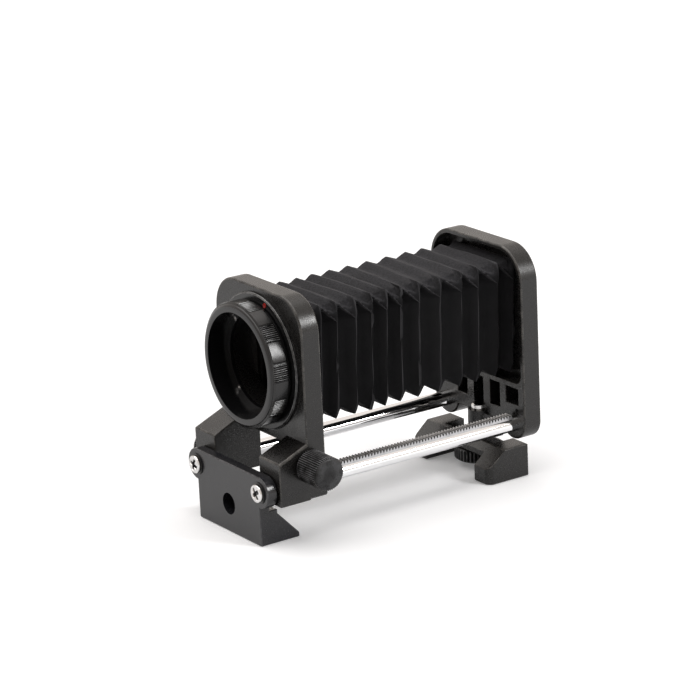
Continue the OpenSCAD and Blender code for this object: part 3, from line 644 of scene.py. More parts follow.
def pocket_mouth(mid):
    return (abs(mid.x - REAR_FRONT) < 0.2 and abs(mid.y) > 6
            and away((abs(mid.y), mid.z), (ROD_Y, ROD_Z, ROD_SEAT_CLEAR), (27.75, 30.65, 2.0)))


soften("rear_standard", "rear_plate", casting_black, "frame", "black_metal",
       [(0.8, rear_outline), (0.3, pocket_mouth)], ROD_CUTS + (("Z", 27.0),))

# %% [markdown]
# ### The rear foot
# Two legs and a bridge stand the camera end on the table. The casting is cut once more
# across its legs, at X = 118, because the sloping edge would else end in a stray triangle.

# %% Rear foot
CLAMP_X = 123.0


def foot_outside(mid):
    """True on the legs and the bridge, but not on the inner step or round the clamp's bore."""
    inner_step = mid.z > 11.5 and mid.x < 113.2
    return mid.z < 14.7 and not inner_step and away((mid.x, mid.y), (CLAMP_X, 0.0, 4.5))


soften("rear_foot", "rear_foot_casting", casting_black, "frame", "black_metal",
       [(0.5, foot_outside)], (("Y", 0.0), ("X", 118.0)))

# %% [markdown]
# ### The lens flange
# The flange is a thin turned disc between the plate and the ring. It could be turned anew,
# but the CAD disc is exact, so only the edges outside the ring's bore are rounded.

# %% Lens flange
soften("lens_flange", "lens_flange_disc", ring_black, "carriage", "black_metal",
       [(0.25, lambda m: away((m.y, m.z), (0, LENS_Z, 25)))])


# %% [markdown]
# ## The adapter ring
# The ring is turned by hand, so it has groups of fine ribs with smooth panels between them.
# The ribs could be cut with a Boolean for each, but ten groups of nine ribs would be slow
# and leave ragged triangles. Each rib is a small wave on the turned outline instead.

# %% Adapter ring
RING_FRONT, RING_BACK = -1.6, 8.2
RING_RADIUS, RING_BORE = 27.2, 23.0
GRIP_PERIOD = math.radians(36)
RIB_STEP = math.radians(1.9)
RIBS = 9
GRIP_PHASE = math.pi - math.radians(6)


def ring_ribs(angle, radius):
    """Ribs on the band between the two shoulders, in groups; smooth panels between them."""
    if radius < RING_RADIUS - 0.3:
        return radius, 0.0
    local = (angle - GRIP_PHASE + GRIP_PERIOD / 2) % GRIP_PERIOD - GRIP_PERIOD / 2
    if abs(local) > RIB_STEP * RIBS / 2:
        edge = abs(abs(local) - RIB_STEP * RIBS / 2) < math.radians(0.8)
        return radius - (0.22 if edge else 0.0), 0.0
    wave = 0.5 - 0.5 * math.cos(2 * math.pi * (local / RIB_STEP + 0.5))
    # The rib tops get the lighter colour: a painted highlight, with some wear.
    return radius - 0.5 * (1 - wave) ** 1.5, wave ** 3


ring_profile = [
    (RING_BORE, RING_FRONT), (RING_BORE + 0.4, RING_FRONT), (25.2, RING_FRONT),
    (25.6, RING_FRONT + 0.12), (26.1, RING_FRONT + 0.4), (26.3, RING_FRONT + 0.65),
    (26.3, RING_FRONT + 0.85), (26.95, RING_FRONT + 1.05), (RING_RADIUS, RING_FRONT + 1.3),
    (RING_RADIUS, RING_FRONT + 2.2), (RING_RADIUS, RING_FRONT + 4.4),
    (RING_RADIUS, RING_FRONT + 6.7), (RING_RADIUS, RING_FRONT + 7.6),
    (26.95, RING_FRONT + 7.85), (26.4, RING_FRONT + 8.1), (26.2, RING_FRONT + 8.5),
    (26.2, RING_BACK - 0.6), (25.6, RING_BACK), (RING_BORE, RING_BACK),
    (RING_BORE, RING_BACK - 4), (RING_BORE, RING_FRONT + 3)]
ring_mesh = turned("adapter_ring_grip", ring_profile, (0, 0, LENS_Z), "X", 1440, ring_ribs)
ring_piece = new_piece("adapter_ring_grip", ring_mesh, ring_black, "carriage", "ring_black",
                       "adapter_ring")
keep_corners_crisp(ring_piece, 40)
print("ring faces:", len(ring_mesh.polygons))

# %% [markdown]
# ## The knobs
# The focus knob and the lock knob have fine straight ribs and a plain flat face. They are
# turned like the ring. A bump would be lighter, but the ribs show against the white floor.
# Both are solid here, without the bore for their shaft, which nobody sees from outside.

# %% Focus knob and lock knob
KNOB_R = 7.25
KNOB_Y = 33.3
FOCUS_LENGTH, LOCK_LENGTH = 15.0, 10.0
FINE_RIBS = 48
# How much of the lighter colour a knob's flat face gets: a painted sheen.
FACE_SHEEN = 0.22


def fine_ribs(angle, radius):
    if radius < KNOB_R - 0.15:
        return radius, FACE_SHEEN
    wave = 0.5 - 0.5 * math.cos(angle * FINE_RIBS)
    # The rib tops get the lighter colour: a painted highlight, with some wear.
    return radius - 0.8 * (1 - wave) ** 1.5, wave ** 3


def rounded_knob(length, away_side):
    """The outline of a side knob, from its inner face at 0 to its plain face at length.

    away_side is 1 for the knob that points along +Y, and -1 for the one along -Y.
    """
    outline_mm = [(0, 0), (5.9, 0), (6.5, 0.15), (6.75, 0.5), (KNOB_R, 0.9), (KNOB_R, 1.6),
                  (KNOB_R, length - 1.5), (KNOB_R, length - 0.8), (6.75, length - 0.45),
                  (6.45, length - 0.12), (6.2, length), (4.0, length), (0, length)]
    return [(radius, distance * away_side) for radius, distance in outline_mm]


focus_mesh = turned("focus_knob_ribbed", rounded_knob(FOCUS_LENGTH, -1),
                    (PINION_X, -KNOB_Y, PINION_Z), "Y", 768, fine_ribs, closed=False)
focus_piece = new_piece("focus_knob_ribbed", focus_mesh, knob_black, "focus_drive",
                        "knob_metal", "focus_knob")
keep_corners_crisp(focus_piece, 40)
lock_mesh = turned("lock_knob_ribbed", rounded_knob(LOCK_LENGTH, 1),
                   (LOCK_X, KNOB_Y, LOCK_Z), "Y", 768, fine_ribs, closed=False)
lock_piece = new_piece("lock_knob_ribbed", lock_mesh, knob_black, "carriage_lock",
                       "knob_metal", "lock_knob")
keep_corners_crisp(lock_piece, 40)
print("side knob faces:", len(focus_mesh.polygons), len(lock_mesh.polygons))

# %% [markdown]
# ### The clamp knob
# The knob under the rear foot lies flat and has fewer, coarser ribs, so that one finger can
# turn it in the narrow space between the legs.

# %% Clamp knob
CLAMP_R = 11.5
COARSE_RIBS = 40


def coarse_ribs(angle, radius):
    if radius < CLAMP_R - 0.3:
        return radius, FACE_SHEEN
    wave = 0.5 - 0.5 * math.cos(angle * COARSE_RIBS)
    # The rib tops get the lighter colour: a painted highlight, with some wear.
    return radius - 0.75 * (1 - wave) ** 2.2, wave ** 4


clamp_profile = [
    (0, 2.4), (9.6, 2.4), (10.5, 2.55), (10.9, 2.9), (CLAMP_R, 3.2), (CLAMP_R, 4.0),
    (CLAMP_R, 7.2), (CLAMP_R, 7.8), (10.9, 8.15), (10.5, 8.45), (9.8, 8.6), (0, 8.6)]
clamp_mesh = turned("clamp_knob_ribbed", clamp_profile, (CLAMP_X, 0, 0), "Z", 640, coarse_ribs,
                    closed=False)
clamp_piece = new_piece("clamp_knob_ribbed", clamp_mesh, knob_black, "foot_clamp",
                        "knob_metal", "clamp_knob")
keep_corners_crisp(clamp_piece, 40)
print("clamp knob faces:", len(clamp_mesh.polygons))

# %% [markdown]
# ## The rod screws
# Two chromed pan-head screws hold the rods to the bracket's ears. Their heads are domed
# and have a tapered cross recess. A Boolean would cut it with hard walls, so each point of
# the head sinks instead by how deep it lies inside the cross.

# %% The cross recess
HEAD_R, HEAD_T = 3.85, 1.5


def cross_depth(a, b):
    """How deep the cross recess is at (a, b) from the screw's middle, in mm."""
    depth = 0.0
    for along, across in ((a, b), (b, a)):
        wing = min(1.0, max(0.0, (2.75 - abs(along)) / 0.4))
        slot = min(1.0, max(0.0, (0.9 - abs(across)) / 0.3))
        depth = max(depth, wing * slot)
    return 1.15 * depth


# %% [markdown]
# ### The screws' mesh
# A mesh of rings round the middle follows the dome and the cross alike. The two crosses
# stand at different angles, because nobody lines screws up, and the shank runs into the rod.

# %% Mesh of the rod screws
SCREW_RINGS, SCREW_STEPS = 30, 96
SCREW_FRONT, SHANK_R, SHANK_END = -10.1, 1.95, -0.1
FIRST_ANGLE = math.radians(22)
NEAR_CROSS, FAR_CROSS = math.radians(35), math.radians(70)


def ring_angle(k):
    return 2 * math.pi * k / SCREW_STEPS + FIRST_ANGLE


def head_point(y, r, angle, dome):
    """A point of a screw's head in mm, and how deep the cross lies there."""
    a, b = r * math.cos(angle), r * math.sin(angle)
    turn = NEAR_CROSS if y < 0 else FAR_CROSS
    sink = cross_depth(a * math.cos(turn) - b * math.sin(turn),
                       a * math.sin(turn) + b * math.cos(turn))
    return Vector((SCREW_FRONT - dome + sink, y + a, ROD_Z + b)), sink


def rod_screw_mesh(name, sides):
    """Both rod screws as one mesh: heads towards -X, with their shanks."""
    bm = bmesh.new()
    recess = bm.verts.layers.float.new("recess")
    for y in sides:
        rows = []
        for i in range(SCREW_RINGS + 1):
            r = HEAD_R * i / SCREW_RINGS
            rim = i == SCREW_RINGS
            dome = HEAD_T * (0.68 if rim else 1 - 0.24 * (r / HEAD_R) ** 2)
            row = []
            for k in range(SCREW_STEPS if i else 1):
                spot, sink = head_point(y, r, ring_angle(k), dome)
                row.append(bm.verts.new(spot * MM))
                # Deeper in the cross the screw is darker: painted shade.
                row[-1][recess] = min(1.0, sink / 0.8)
            rows.append(row)
        for r, x in ((HEAD_R, SCREW_FRONT), (SHANK_R, SCREW_FRONT), (SHANK_R, SHANK_END)):
            rows.append([bm.verts.new(Vector((x, y + r * math.cos(ring_angle(k)),
                                              ROD_Z + r * math.sin(ring_angle(k)))) * MM)
                         for k in range(SCREW_STEPS)])
            # The head's side and the shank are fully dark: painted shade.
            for vert in rows[-1]:
                vert[recess] = 1.0
        rows.append([bm.verts.new(Vector((SHANK_END, y, ROD_Z)) * MM)])
        for first, second in zip(rows, rows[1:]):
            bridge(bm, second, first, SCREW_STEPS)
    bmesh.ops.recalc_face_normals(bm, faces=bm.faces)
    mesh = bpy.data.meshes.new(name)
    bm.to_mesh(mesh)
    bm.free()
    return mesh


screw_mesh = rod_screw_mesh("rod_screw_heads", (-ROD_Y, ROD_Y))
screw_piece = new_piece("rod_screw_heads", screw_mesh, screw_chrome, "frame", "chrome",
                        "front_rod_screws")
keep_corners_crisp(screw_piece, 50)
print("screw faces:", len(screw_mesh.polygons))

# %% [markdown]
# ## The bellows
# The bellows is one tube of thin cloth, held in folds by stiff strips in its flat panels.
# The corners have no strips. There the cloth folds over like the flap of a parcel: a sharp
# crease runs from the top of one ridge down to the shoulder of the next, and the side
# valley tucks in under it. The near flaps are soft above the crease and the far flaps are
# crisp. A cloth simulation could fold the tube, but it would not put the creases where the
# real ones lie. So the outline at each station is worked out from a few points.

# %% Bellows: where the ridges are
RIDGES_NEAR = [27.2, 35.3, 44.8, 53.3, 60.8, 68.6, 77.9, 88.9, 100.3, 109.3, 119.9, 128.3]
RIDGES_FAR = [27.2, 34.8, 43.3, 51.3, 60.2, 69.9, 80.0, 90.6, 100.9, 109.8, 119.9, 128.3]
CLOTH_START, CLOTH_END = 20.3, 129.2
TOP, TOP_CORNER, SHOULDER, SIDE_LOW, LOW_CORNER, BOTTOM = 97.5, 97.3, 88.2, 50.4, 45.2, 45.0
HALF_TOP, HALF_SIDE, HALF_LOW, HALF_BOTTOM = 20.5, 22.0, 21.1, 18.9
TOP_SINK, TOP_DRAW, SIDE_SINK, BOTTOM_SINK, BOTTOM_DRAW = 2.0, 0.6, 5.8, 3.6, 3.6
MIDDLE_Z = 71.0
print("pleats:", len(RIDGES_NEAR) - 1)

# %% [markdown]
# ### One outline of the cloth
# Every outline has the same number of points, so the stations join up with plain faces.
# The points at the corner are spaced by one list, which also spaces the stations along the
# tube: the crease can then run from corner point to corner point without a jagged step.

# %% Bellows: one outline
SIDE_VALLEY = 0.36
FLAP_START, SLOPE_POINTS, SLOPE_START = 8, 4, 13.0
SOFT_NEAR, SOFT_FAR = 1.0, 0.0
PUFF, HOLLOW = 1.0, 4.0
STEPS = [0.0, 0.02, 0.05, 0.1, 0.2, 0.34, 0.5, 0.66, 0.8, 0.9, 0.95, 0.98, 1.0]


def mix(a, b, t):
    return tuple(p + (q - p) * t for p, q in zip(a, b))


def bend(a, b, c, t):
    """A point on the curve that leaves a towards b and arrives at c."""
    return mix(mix(a, b, t), mix(b, c, t), t)


def outline(s, sink, side_sink, soft):
    """Half an outline as (y, z) from the top middle round to the bottom middle.

    s runs from 0 on one ridge to 1 on the next, and sink from 0 on a ridge to 1 in the
    valley. The flap's crease is at the corner point number s of STEPS. On a ridge the
    corner is crisp. Between two ridges the cloth slopes down to the crease, from far in
    where soft is 1. The flap is puffed out next to the following ridge and has a hollow
    right above the crease. Below the crease the cloth turns inwards at once.
    """
    top_z = TOP_CORNER - TOP_SINK * sink
    top = (HALF_TOP - TOP_DRAW * sink, top_z)
    crease = mix((HALF_TOP, TOP_CORNER), (HALF_SIDE, SHOULDER), s)
    tuck = (HALF_SIDE - SIDE_SINK * side_sink, SHOULDER - 1.5 * side_sink)
    low = (HALF_LOW - SIDE_SINK * side_sink, SIDE_LOW - 1.0 * side_sink)
    corner = (HALF_BOTTOM - BOTTOM_DRAW * sink, LOW_CORNER + BOTTOM_SINK * sink)
    crisp = max(0.0, 1 - 3 * sink)
    reach = soft * (1 - s)
    start = mix(top, (SLOPE_START, top_z), reach)
    hump = mix(start, crease, 0.5)
    hump = (hump[0] + 0.2 * reach, hump[1] + 0.3 * reach)
    points = [mix((0, TOP - TOP_SINK * sink), top, k / FLAP_START) for k in range(FLAP_START)]
    for k in range(FLAP_START - SLOPE_POINTS, FLAP_START):
        slope = bend(start, hump, crease, 0.5 * (k - FLAP_START + SLOPE_POINTS) / SLOPE_POINTS)
        points[k] = mix(points[k], mix(slope, points[k], crisp), soft)
    for j, t in enumerate(STEPS):
        swell = PUFF * crisp * math.sin(math.pi * t ** 0.8)
        if t <= s:
            share = t / s if s else 0
            swell = PUFF * s * math.sin(math.pi * share ** 0.8)
            if j + 1 < len(STEPS) and STEPS[j + 1] == s:
                swell -= HOLLOW * (s - t)
            straight = mix(top, crease, share)
            sloped = bend(start, hump, crease, 0.5 + share / 2)
            spot = mix(straight, mix(sloped, straight, crisp), soft)
        else:
            share = (t - s) / (1 - s)
            spot = (crease[0] + (tuck[0] - crease[0]) * min(1.0, share * (1 + 4 * side_sink)),
                    crease[1] + (tuck[1] - crease[1]) * share)
        points.append((spot[0] + swell, spot[1] + swell * 0.35))
    points += [mix(tuck, low, k / 12) for k in range(1, 12)]
    points += [mix(low, corner, k / 4) for k in range(4)]
    points += [mix(corner, (0, BOTTOM + BOTTOM_SINK * sink), k / 8) for k in range(9)]
    return points


print("points in half an outline:", len(outline(0.5, 1.0, 1.0, 1.0)))

# %% [markdown]
# ### Stations along the tube
# A pleat is not a saw tooth: the cloth has a small radius at each ridge and valley. The
# side panels have their valley nearer to the front ridge than the top has. Each station
# keeps both depths, one for the top and one for the sides.

# %% Bellows: stations along the tube
FOLD_R = 0.32


def rounded_sink(gap, half):
    """How deep the cloth has sunk at a gap in mm from a ridge: round at ridge and valley."""
    if gap < FOLD_R:
        return (FOLD_R / 2 + gap * gap / (2 * FOLD_R)) / half
    if gap > half - FOLD_R:
        return 1 - (FOLD_R / 2 + (half - gap) ** 2 / (2 * FOLD_R)) / half
    return gap / half


# Each station: near x, far x, s, sink, side sink, gap to the ridge, number of the pleat.
stations = []
for i in range(len(RIDGES_NEAR) - 1):
    length = RIDGES_NEAR[i + 1] - RIDGES_NEAR[i]
    for s in STEPS[:-1]:
        gap = min(s, 1 - s) * length
        first_half = s < SIDE_VALLEY
        side_gap = s * length if first_half else (1 - s) * length
        side_half = (SIDE_VALLEY if first_half else 1 - SIDE_VALLEY) * length
        stations.append((RIDGES_NEAR[i] + s * length,
                         RIDGES_FAR[i] + s * (RIDGES_FAR[i + 1] - RIDGES_FAR[i]), s,
                         rounded_sink(gap, length / 2), rounded_sink(side_gap, side_half), gap, i))
last_x = RIDGES_NEAR[-1]
stations.append((last_x, last_x, 0.0, 0.05, 0.05, 0.0, len(RIDGES_NEAR) - 1))
print("stations:", len(stations))

# %% [markdown]
# ### The rings of the mesh
# Each station becomes one ring of points. The near half and the far half have ridges at
# slightly different places, as in the photograph, so X is mixed across the width. A little
# noise keeps the panels from looking printed, and masks for the lighter lines are written:
# rubbed cloth and a painted highlight.

# %% Bellows: one ring of the mesh
SEAT_HALF, SEAT_TOP, SEAT_LOW = 17.0, 92.6, 50.0


def seat_outline(shape):
    """The rectangle where the cloth is clamped, with as many points as the outline."""
    points = []
    for y, z in shape:
        points.append((max(-SEAT_HALF, min(SEAT_HALF, y)), max(SEAT_LOW, min(SEAT_TOP, z))))
    return points


def ripple(x, y, z, scale, size):
    return noise.noise(Vector((x, y, z)) * scale) * size


bm = bmesh.new()
fold_layer = bm.verts.layers.float.new("fold")
crease_layer = bm.verts.layers.float.new("crease")


def add_row(near_x, far_x, shape, s, sink, gap, index, held):
    """One ring of vertices. held is 0 where the cloth is clamped and 1 where it is free."""
    near = [(-y, z, k) for k, (y, z) in enumerate(shape[0])]
    far = [(y, z, k) for k, (y, z) in enumerate(shape[1])][1:-1][::-1]
    row = []
    for y, z, k in near + far:
        x = near_x + (far_x - near_x) * (y + HALF_TOP) / (2 * HALF_TOP)
        x -= 0.017 * (TOP - z) * (1 - 0.7 * sink) * held
        corner = max(0.0, 1 - abs(z - SHOULDER - 4) / 9) * (1 if abs(y) > 15 else 0)
        flat = 1 - corner
        out = Vector((0, y, z - MIDDLE_Z)).normalized()
        push = ripple(x, y, z, 0.11, 0.32) + ripple(x + index * 9, y, z, 0.45, 0.34) * corner
        push += 0.22 * math.sin(math.pi * min(1.0, gap / 4.0)) * flat
        x += (ripple(index * 5.3, y * 0.08, z * 0.08, 1.0, 0.5)
              + ripple(x, y, z, 0.5, 0.25) * corner) * held
        spot = Vector((x, y, z)) + out * push * held
        vert = bm.verts.new(spot * MM)
        # A lighter line along each ridge: rubbed cloth and a painted highlight.
        vert[fold_layer] = max(0.0, 1 - gap / 0.42) * held
        # The crease line is lighter as well: rubbed cloth and a painted highlight.
        on_crease = (FLAP_START <= k < FLAP_START + len(STEPS)
                     and abs(STEPS[k - FLAP_START] - s) < 0.001)
        vert[crease_layer] = 1.0 if on_crease and s > 0 else 0.0
        row.append(vert)
    return row


def both_sides(s, sink, side_sink):
    """The outlines of the near half and the far half."""
    return [outline(s, sink, side_sink, soft) for soft in (SOFT_NEAR, SOFT_FAR)]


# %% [markdown]
# ### All the rings
# The cloth is clamped at both ends, so it starts as a rectangle and opens into the first
# ridge. It stays narrow for the first part, so that it clears the front frame's screws when
# it is folded up.

# %% Bellows: all the rings
NARROW = 0.3
START_SHARES = (0.0, 0.25, 0.5, 0.75, 0.9, 0.96)
NO_CREASE = 2
first_shape = outline(1.0, 0.05, 0.05, 0.0)
rows = []
for share in START_SHARES:
    spread = max(0.0, (share - NARROW) / (1 - NARROW))
    shape = [mix(a, b, spread) for a, b in zip(seat_outline(first_shape), first_shape)]
    x = CLOTH_START + (RIDGES_NEAR[0] - CLOTH_START) * share
    rows.append(add_row(x, x, [shape, shape], NO_CREASE, 0, (1 - share) * 6.9, 0,
                        min(1.0, share * 2)))
for near_x, far_x, s, sink, side_sink, gap, index in stations:
    rows.append(add_row(near_x, far_x, both_sides(s, sink, side_sink), s, sink, gap, index, 1.0))
last_shape = outline(0.0, 0.0, 0.0, 0.0)
seat = [(y * 0.9, MIDDLE_Z + (z - MIDDLE_Z) * 0.9) for y, z in last_shape]
rows.append(add_row(CLOTH_END - 0.3, CLOTH_END - 0.3, [seat, seat], NO_CREASE, 0, 2.0, 11, 0.5))
seat = seat_outline(last_shape)
rows.append(add_row(CLOTH_END, CLOTH_END, [seat, seat], NO_CREASE, 0, 9.0, 11, 0.0))
count = len(rows[0])
half = len(first_shape)
print("rings:", len(rows), "points in a ring:", count)

# %% [markdown]
# ### The faces between the rings
# Plain four-sided faces join the rings, apart from the faces that the crease crosses. Those
# are cut in two along the crease, so that it stays one clean line.

# %% Bellows: the faces

def flap_column(k):
    """The number of the corner point that column k carries, or None away from the flaps."""
    if k >= half:
        k = count - k
    k -= FLAP_START
    return k if 0 <= k < len(STEPS) else None


for r, (first, second) in enumerate(zip(rows, rows[1:])):
    station = (r - len(START_SHARES)) % (len(STEPS) - 1)
    for k in range(count):
        after = (k + 1) % count
        here, there = flap_column(k), flap_column(after)
        on_flap = here is not None and there is not None and r >= len(START_SHARES)
        if on_flap and here == station and there == station + 1:
            bm.faces.new((first[k], second[after], second[k]))
            bm.faces.new((first[k], first[after], second[after]))
        elif on_flap and there == station and here == station + 1:
            bm.faces.new((first[after], second[k], second[after]))
            bm.faces.new((first[after], first[k], second[k]))
        else:
            bm.faces.new((first[k], first[after], second[after], second[k]))
bmesh.ops.recalc_face_normals(bm, faces=bm.faces)
bellows_mesh = bpy.data.meshes.new("bellows_folds")
bm.to_mesh(bellows_mesh)
bm.free()
print("bellows faces:", len(bellows_mesh.polygons))

# %% [markdown]
# ### Bellows cloth
# The cloth is a fine plain weave under a matt rubber coat. Two crossed waves make the
# threads, and the ridges and the corner creases are a lighter grey: rubbed, and a painted
# highlight. Their masks come from the mesh, where they were written while it was folded.
# Faces that point up get a lighter grey too, which is painted light from above.

# %% Group: coated cloth
cloth, enter, leave = new_group(
    "coated_cloth",
    [("Coat", "Color", (0.0062, 0.0062, 0.0072, 1)),
     ("Top lit", "Color", (0.0335, 0.0328, 0.0368, 1)),
     ("Wear and sheen", "Color", (0.085, 0.084, 0.09, 1)),
     ("Threads per m", "Float", 2600.0), ("Thread relief", "Float", 0.4)],
    [("Colour", "Color"), ("Roughness", "Float"), ("Normal", "Vector")])
place = add(cloth, "TexCoord")
threads = []
for turn in ((0.0, 0.0, 0.0), (math.pi / 2, 0.0, 0.0), (0.0, 0.0, math.pi / 2)):
    spun = add(cloth, "Mapping", [("Vector", place.outputs["Object"])])
    spun.inputs["Rotation"].default_value = turn
    wave = add(cloth, "TexWave", [("Vector", spun.outputs["Vector"]),
                                  ("Scale", enter.outputs["Threads per m"])],
               bands_direction="Z", Distortion=1.5, Detail=1.0)
    threads.append(wave.outputs["Fac"])
woven = add(cloth, "Math", [(0, threads[0]), (1, threads[1])], operation="MAXIMUM")
woven = add(cloth, "Math", [(0, woven.outputs[0]), (1, threads[2])], operation="MULTIPLY")
mottle = add(cloth, "TexNoise", [("Vector", place.outputs["Object"])], Scale=140.0, Detail=4.0)
fold_mask = add(cloth, "Attribute", attribute_name="fold")
crease_mask = add(cloth, "Attribute", attribute_name="crease")
# Ridges and creases get the lighter colour: wear and a painted highlight.
lines = add(cloth, "Math", [(0, ramp(cloth, fold_mask.outputs["Fac"], 0.4, 1.2)),
                            (1, ramp(cloth, crease_mask.outputs["Fac"], 0.5, 0.8))],
            operation="MAXIMUM")
worn_and_lit_lines = add(cloth, "Math", [(0, lines.outputs[0]),
                             (1, ramp(cloth, mottle.outputs["Fac"], 0.1, 0.7))],
             operation="MULTIPLY")
fibres = add(cloth, "TexNoise", [("Vector", place.outputs["Object"])], Scale=1300.0, Detail=3.0)
facing = add(cloth, "SeparateXYZ", [("Vector", place.outputs["Normal"])])
speckle = add(cloth, "Math", [(0, ramp(cloth, fibres.outputs["Fac"], 0.2, 0.7)),
                              (1, ramp(cloth, mottle.outputs["Fac"], -0.4, 0.6))],
              operation="MULTIPLY")
# Faces that point up get the lighter colour, broken up by the fibres: painted light from above.
lit_from_above = add(cloth, "Math", [(0, ramp(cloth, facing.outputs["Z"], 0.0, 0.75)),
                              (1, speckle.outputs[0])], operation="MULTIPLY")
top_lit_tone = blend_colours(cloth, lit_from_above.outputs[0], enter.outputs["Coat"], enter.outputs["Top lit"])
tone = blend_colours(cloth, worn_and_lit_lines.outputs[0], top_lit_tone, enter.outputs["Wear and sheen"])
relief = add(cloth, "Bump", [("Height", woven.outputs[0]),
                             ("Strength", enter.outputs["Thread relief"])], Distance=0.00005)
dull = add(cloth, "MapRange", [("Value", mottle.outputs["Fac"])])
dull.inputs["To Min"].default_value = 0.72
dull.inputs["To Max"].default_value = 0.9
cloth.links.new(tone, leave.inputs["Colour"])
cloth.links.new(dull.outputs["Result"], leave.inputs["Roughness"])
cloth.links.new(relief.outputs["Normal"], leave.inputs["Normal"])
print("group:", cloth.name)

# %% [markdown]
# ### Cloth with thickness
# Real cloth has two sides, and the light path runs through this one, so it gets half a
# millimetre of thickness.

# %% Bellows: material and thickness
bellows_cloth = bpy.data.materials.new("bellows_cloth")
tree, shader = shader_of(bellows_cloth)
weave = place_group(tree, cloth)
tree.links.new(weave.outputs["Colour"], shader.inputs["Base Color"])
tree.links.new(weave.outputs["Roughness"], shader.inputs["Roughness"])
tree.links.new(weave.outputs["Normal"], shader.inputs["Normal"])
shader.inputs["Specular IOR Level"].default_value = 0.2
bellows = new_piece("bellows_folds", bellows_mesh, bellows_cloth, "frame", "bellows_cloth",
                    "bellows")
bellows.data.set_sharp_from_angle(angle=math.radians(50))
thick = bellows.modifiers.new("cloth thickness", "SOLIDIFY")
thick.thickness = 0.5 * MM
thick.offset = -1
bpy.context.view_layer.objects.active = bellows
bellows.select_set(True)
bpy.ops.object.modifier_apply(modifier=thick.name)
bellows.select_set(False)
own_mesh(bellows)
print("cloth faces with thickness:", len(bellows.data.polygons))

# %% [markdown]
# ## Finishes for the pieces that stay as CAD
# The rods, the rack, the small screws and the bushes already have their right shape, so
# each only gets its finish.

# %% Materials for the CAD pieces
plain_finishes = {
    rod_chrome: ["rod_near", "rod_far"],
    screw_chrome: ["lens_flange_screws", "clamp_screw"],
    mount_chrome: ["camera_mount"],
    turned_steel: ["focus_rack", "camera_mount_screws", "pinion_shaft", "lock_screw"],
    oiled_bronze: ["rod_bushes", "pinion_bush", "lock_shoe"],
    casting_black: ["bellows_front_frame", "bellows_rear_frame"],
    black_steel: ["front_rod_washers", "rear_rod_screws", "focus_knob_screw", "front_frame_screws",
                  "rear_frame_screws", "rod_set_screws", "clamp_washer"],
    red_enamel: ["alignment_dot"],
}
for material, names in plain_finishes.items():
    for name in names:
        mesh = nodes[name].data
        mesh.materials.clear()
        mesh.materials.append(material)
print("finished:", sum(len(names) for names in plain_finishes.values()))

# %% [markdown]
# ## Floor and light
# A white table in a white room, and one very wide, soft light from above. The eye and the
# mirror finishes see the table and the room as white. The diffuse light that they throw
# back is weaker than that, as in a studio with dark walls, so that the black stays black.

# %% Which rays see the white studio
def seen_rays(tree):
    """1 for rays that the eye or a mirror finish sends out, and 0 for diffuse light."""
    rays = add(tree, "LightPath")
    mirror = add(tree, "Math", [(0, rays.outputs["Is Camera Ray"]),
                                (1, rays.outputs["Is Glossy Ray"])], operation="MAXIMUM")
    seen = add(tree, "Math", [(0, mirror.outputs[0]), (1, rays.outputs["Is Transmission Ray"])],
               operation="MAXIMUM")
    return seen.outputs[0], rays.outputs["Is Camera Ray"]


# %% [markdown]
# ### The table
# The unit stands on a plain white table, which only has to carry its shadow. A curved
# backdrop is not needed, because the room is as white as the table. The floor lies a fifth
# of a millimetre low, so that it doesn't flicker against the feet.

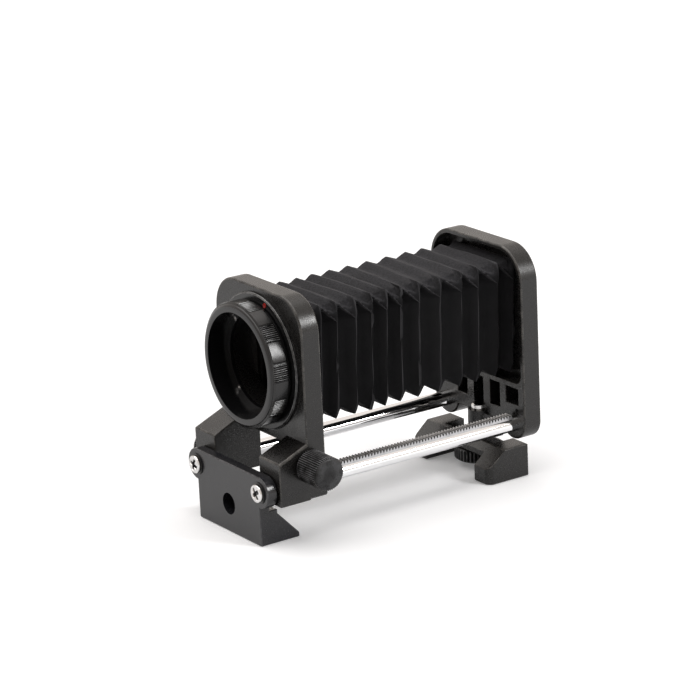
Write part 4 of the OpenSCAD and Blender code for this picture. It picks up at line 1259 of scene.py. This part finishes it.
# %% Floor
REACH = 8.0
floor_mesh = bpy.data.meshes.new("studio_floor")
floor_mesh.from_pydata([(-REACH, -REACH, 0), (REACH, -REACH, 0),
                        (REACH, REACH, 0), (-REACH, REACH, 0)], [], [(0, 1, 2, 3)])
floor = bpy.data.objects.new("studio_floor", floor_mesh)
bpy.context.scene.collection.objects.link(floor)
floor.location.z = -0.0002
floor_white = bpy.data.materials.new("floor_white")
tree, shader = shader_of(floor_white)
seen, _ = seen_rays(tree)
tree.links.new(blend_colours(tree, seen, (0.22, 0.22, 0.22), (0.95, 0.95, 0.96)),
               shader.inputs["Base Color"])
tree.links.new(blend_colours(tree, seen, (0, 0, 0), (0.16, 0.16, 0.16)),
               shader.inputs["Emission Color"])
shader.inputs["Emission Strength"].default_value = 1.0
shader.inputs["Roughness"].default_value = 0.9
shader.inputs["Specular IOR Level"].default_value = 0.0
floor_mesh.materials.append(floor_white)
print("floor in m:", REACH * 2)

# %% [markdown]
# ### The light from above
# A sun lamp with a very wide disc acts like a large softbox: it has the same strength
# everywhere and casts a shadow without a hard rim.

# %% The light from above
sky = bpy.data.lights.new("wide_soft_light", "SUN")
sky.energy = 2.6
sky.angle = math.radians(75)
sky.color = (1.0, 0.985, 0.97)
sky_holder = bpy.data.objects.new("wide_soft_light", sky)
sky_holder.rotation_euler = (math.radians(-12), math.radians(-8), 0)
bpy.context.scene.collection.objects.link(sky_holder)
print("light from above:", round(sky.energy, 2))

# %% [markdown]
# ### The softbox
# A second, smaller light stands at the right of the table. It gives the black castings
# highlights along their rounded edges, which the wide light alone leaves dull.

# %% A small softbox at the right
box = bpy.data.lights.new("side_softbox", "AREA")
box.shape = "RECTANGLE"
box.size, box.size_y = 0.34, 0.46
box.energy = 11.0
box_holder = bpy.data.objects.new("side_softbox", box)
box_holder.location = (0.75, -1.15, 0.75)
to_unit = Vector((0.05, 0, 0.07)) - box_holder.location
box_holder.rotation_euler = to_unit.to_track_quat("-Z", "Y").to_euler()
bpy.context.scene.collection.objects.link(box_holder)
print("softbox in m:", round(box.size, 2), round(box.size_y, 2))

# %% [markdown]
# ### The white room
# The world is the room. It is white to the eye and in the chrome, and a little warm and
# much weaker where it lights the black surfaces.

# %% The white room
world = bpy.data.worlds.new("studio_room")
bpy.context.scene.world = world
world.use_nodes = True
tree = world.node_tree
background = tree.nodes["Background"]
seen, straight = seen_rays(tree)
tree.links.new(blend_colours(tree, straight, (1.0, 0.93, 0.87), (1, 1, 1)), background.inputs["Color"])
level = add(tree, "MapRange", [("Value", seen)])
level.inputs["To Min"].default_value = 0.16
level.inputs["To Max"].default_value = 1.0
tree.links.new(level.outputs["Result"], background.inputs["Strength"])

bpy.context.scene.view_settings.view_transform = "Standard"
print("room:", world.name)
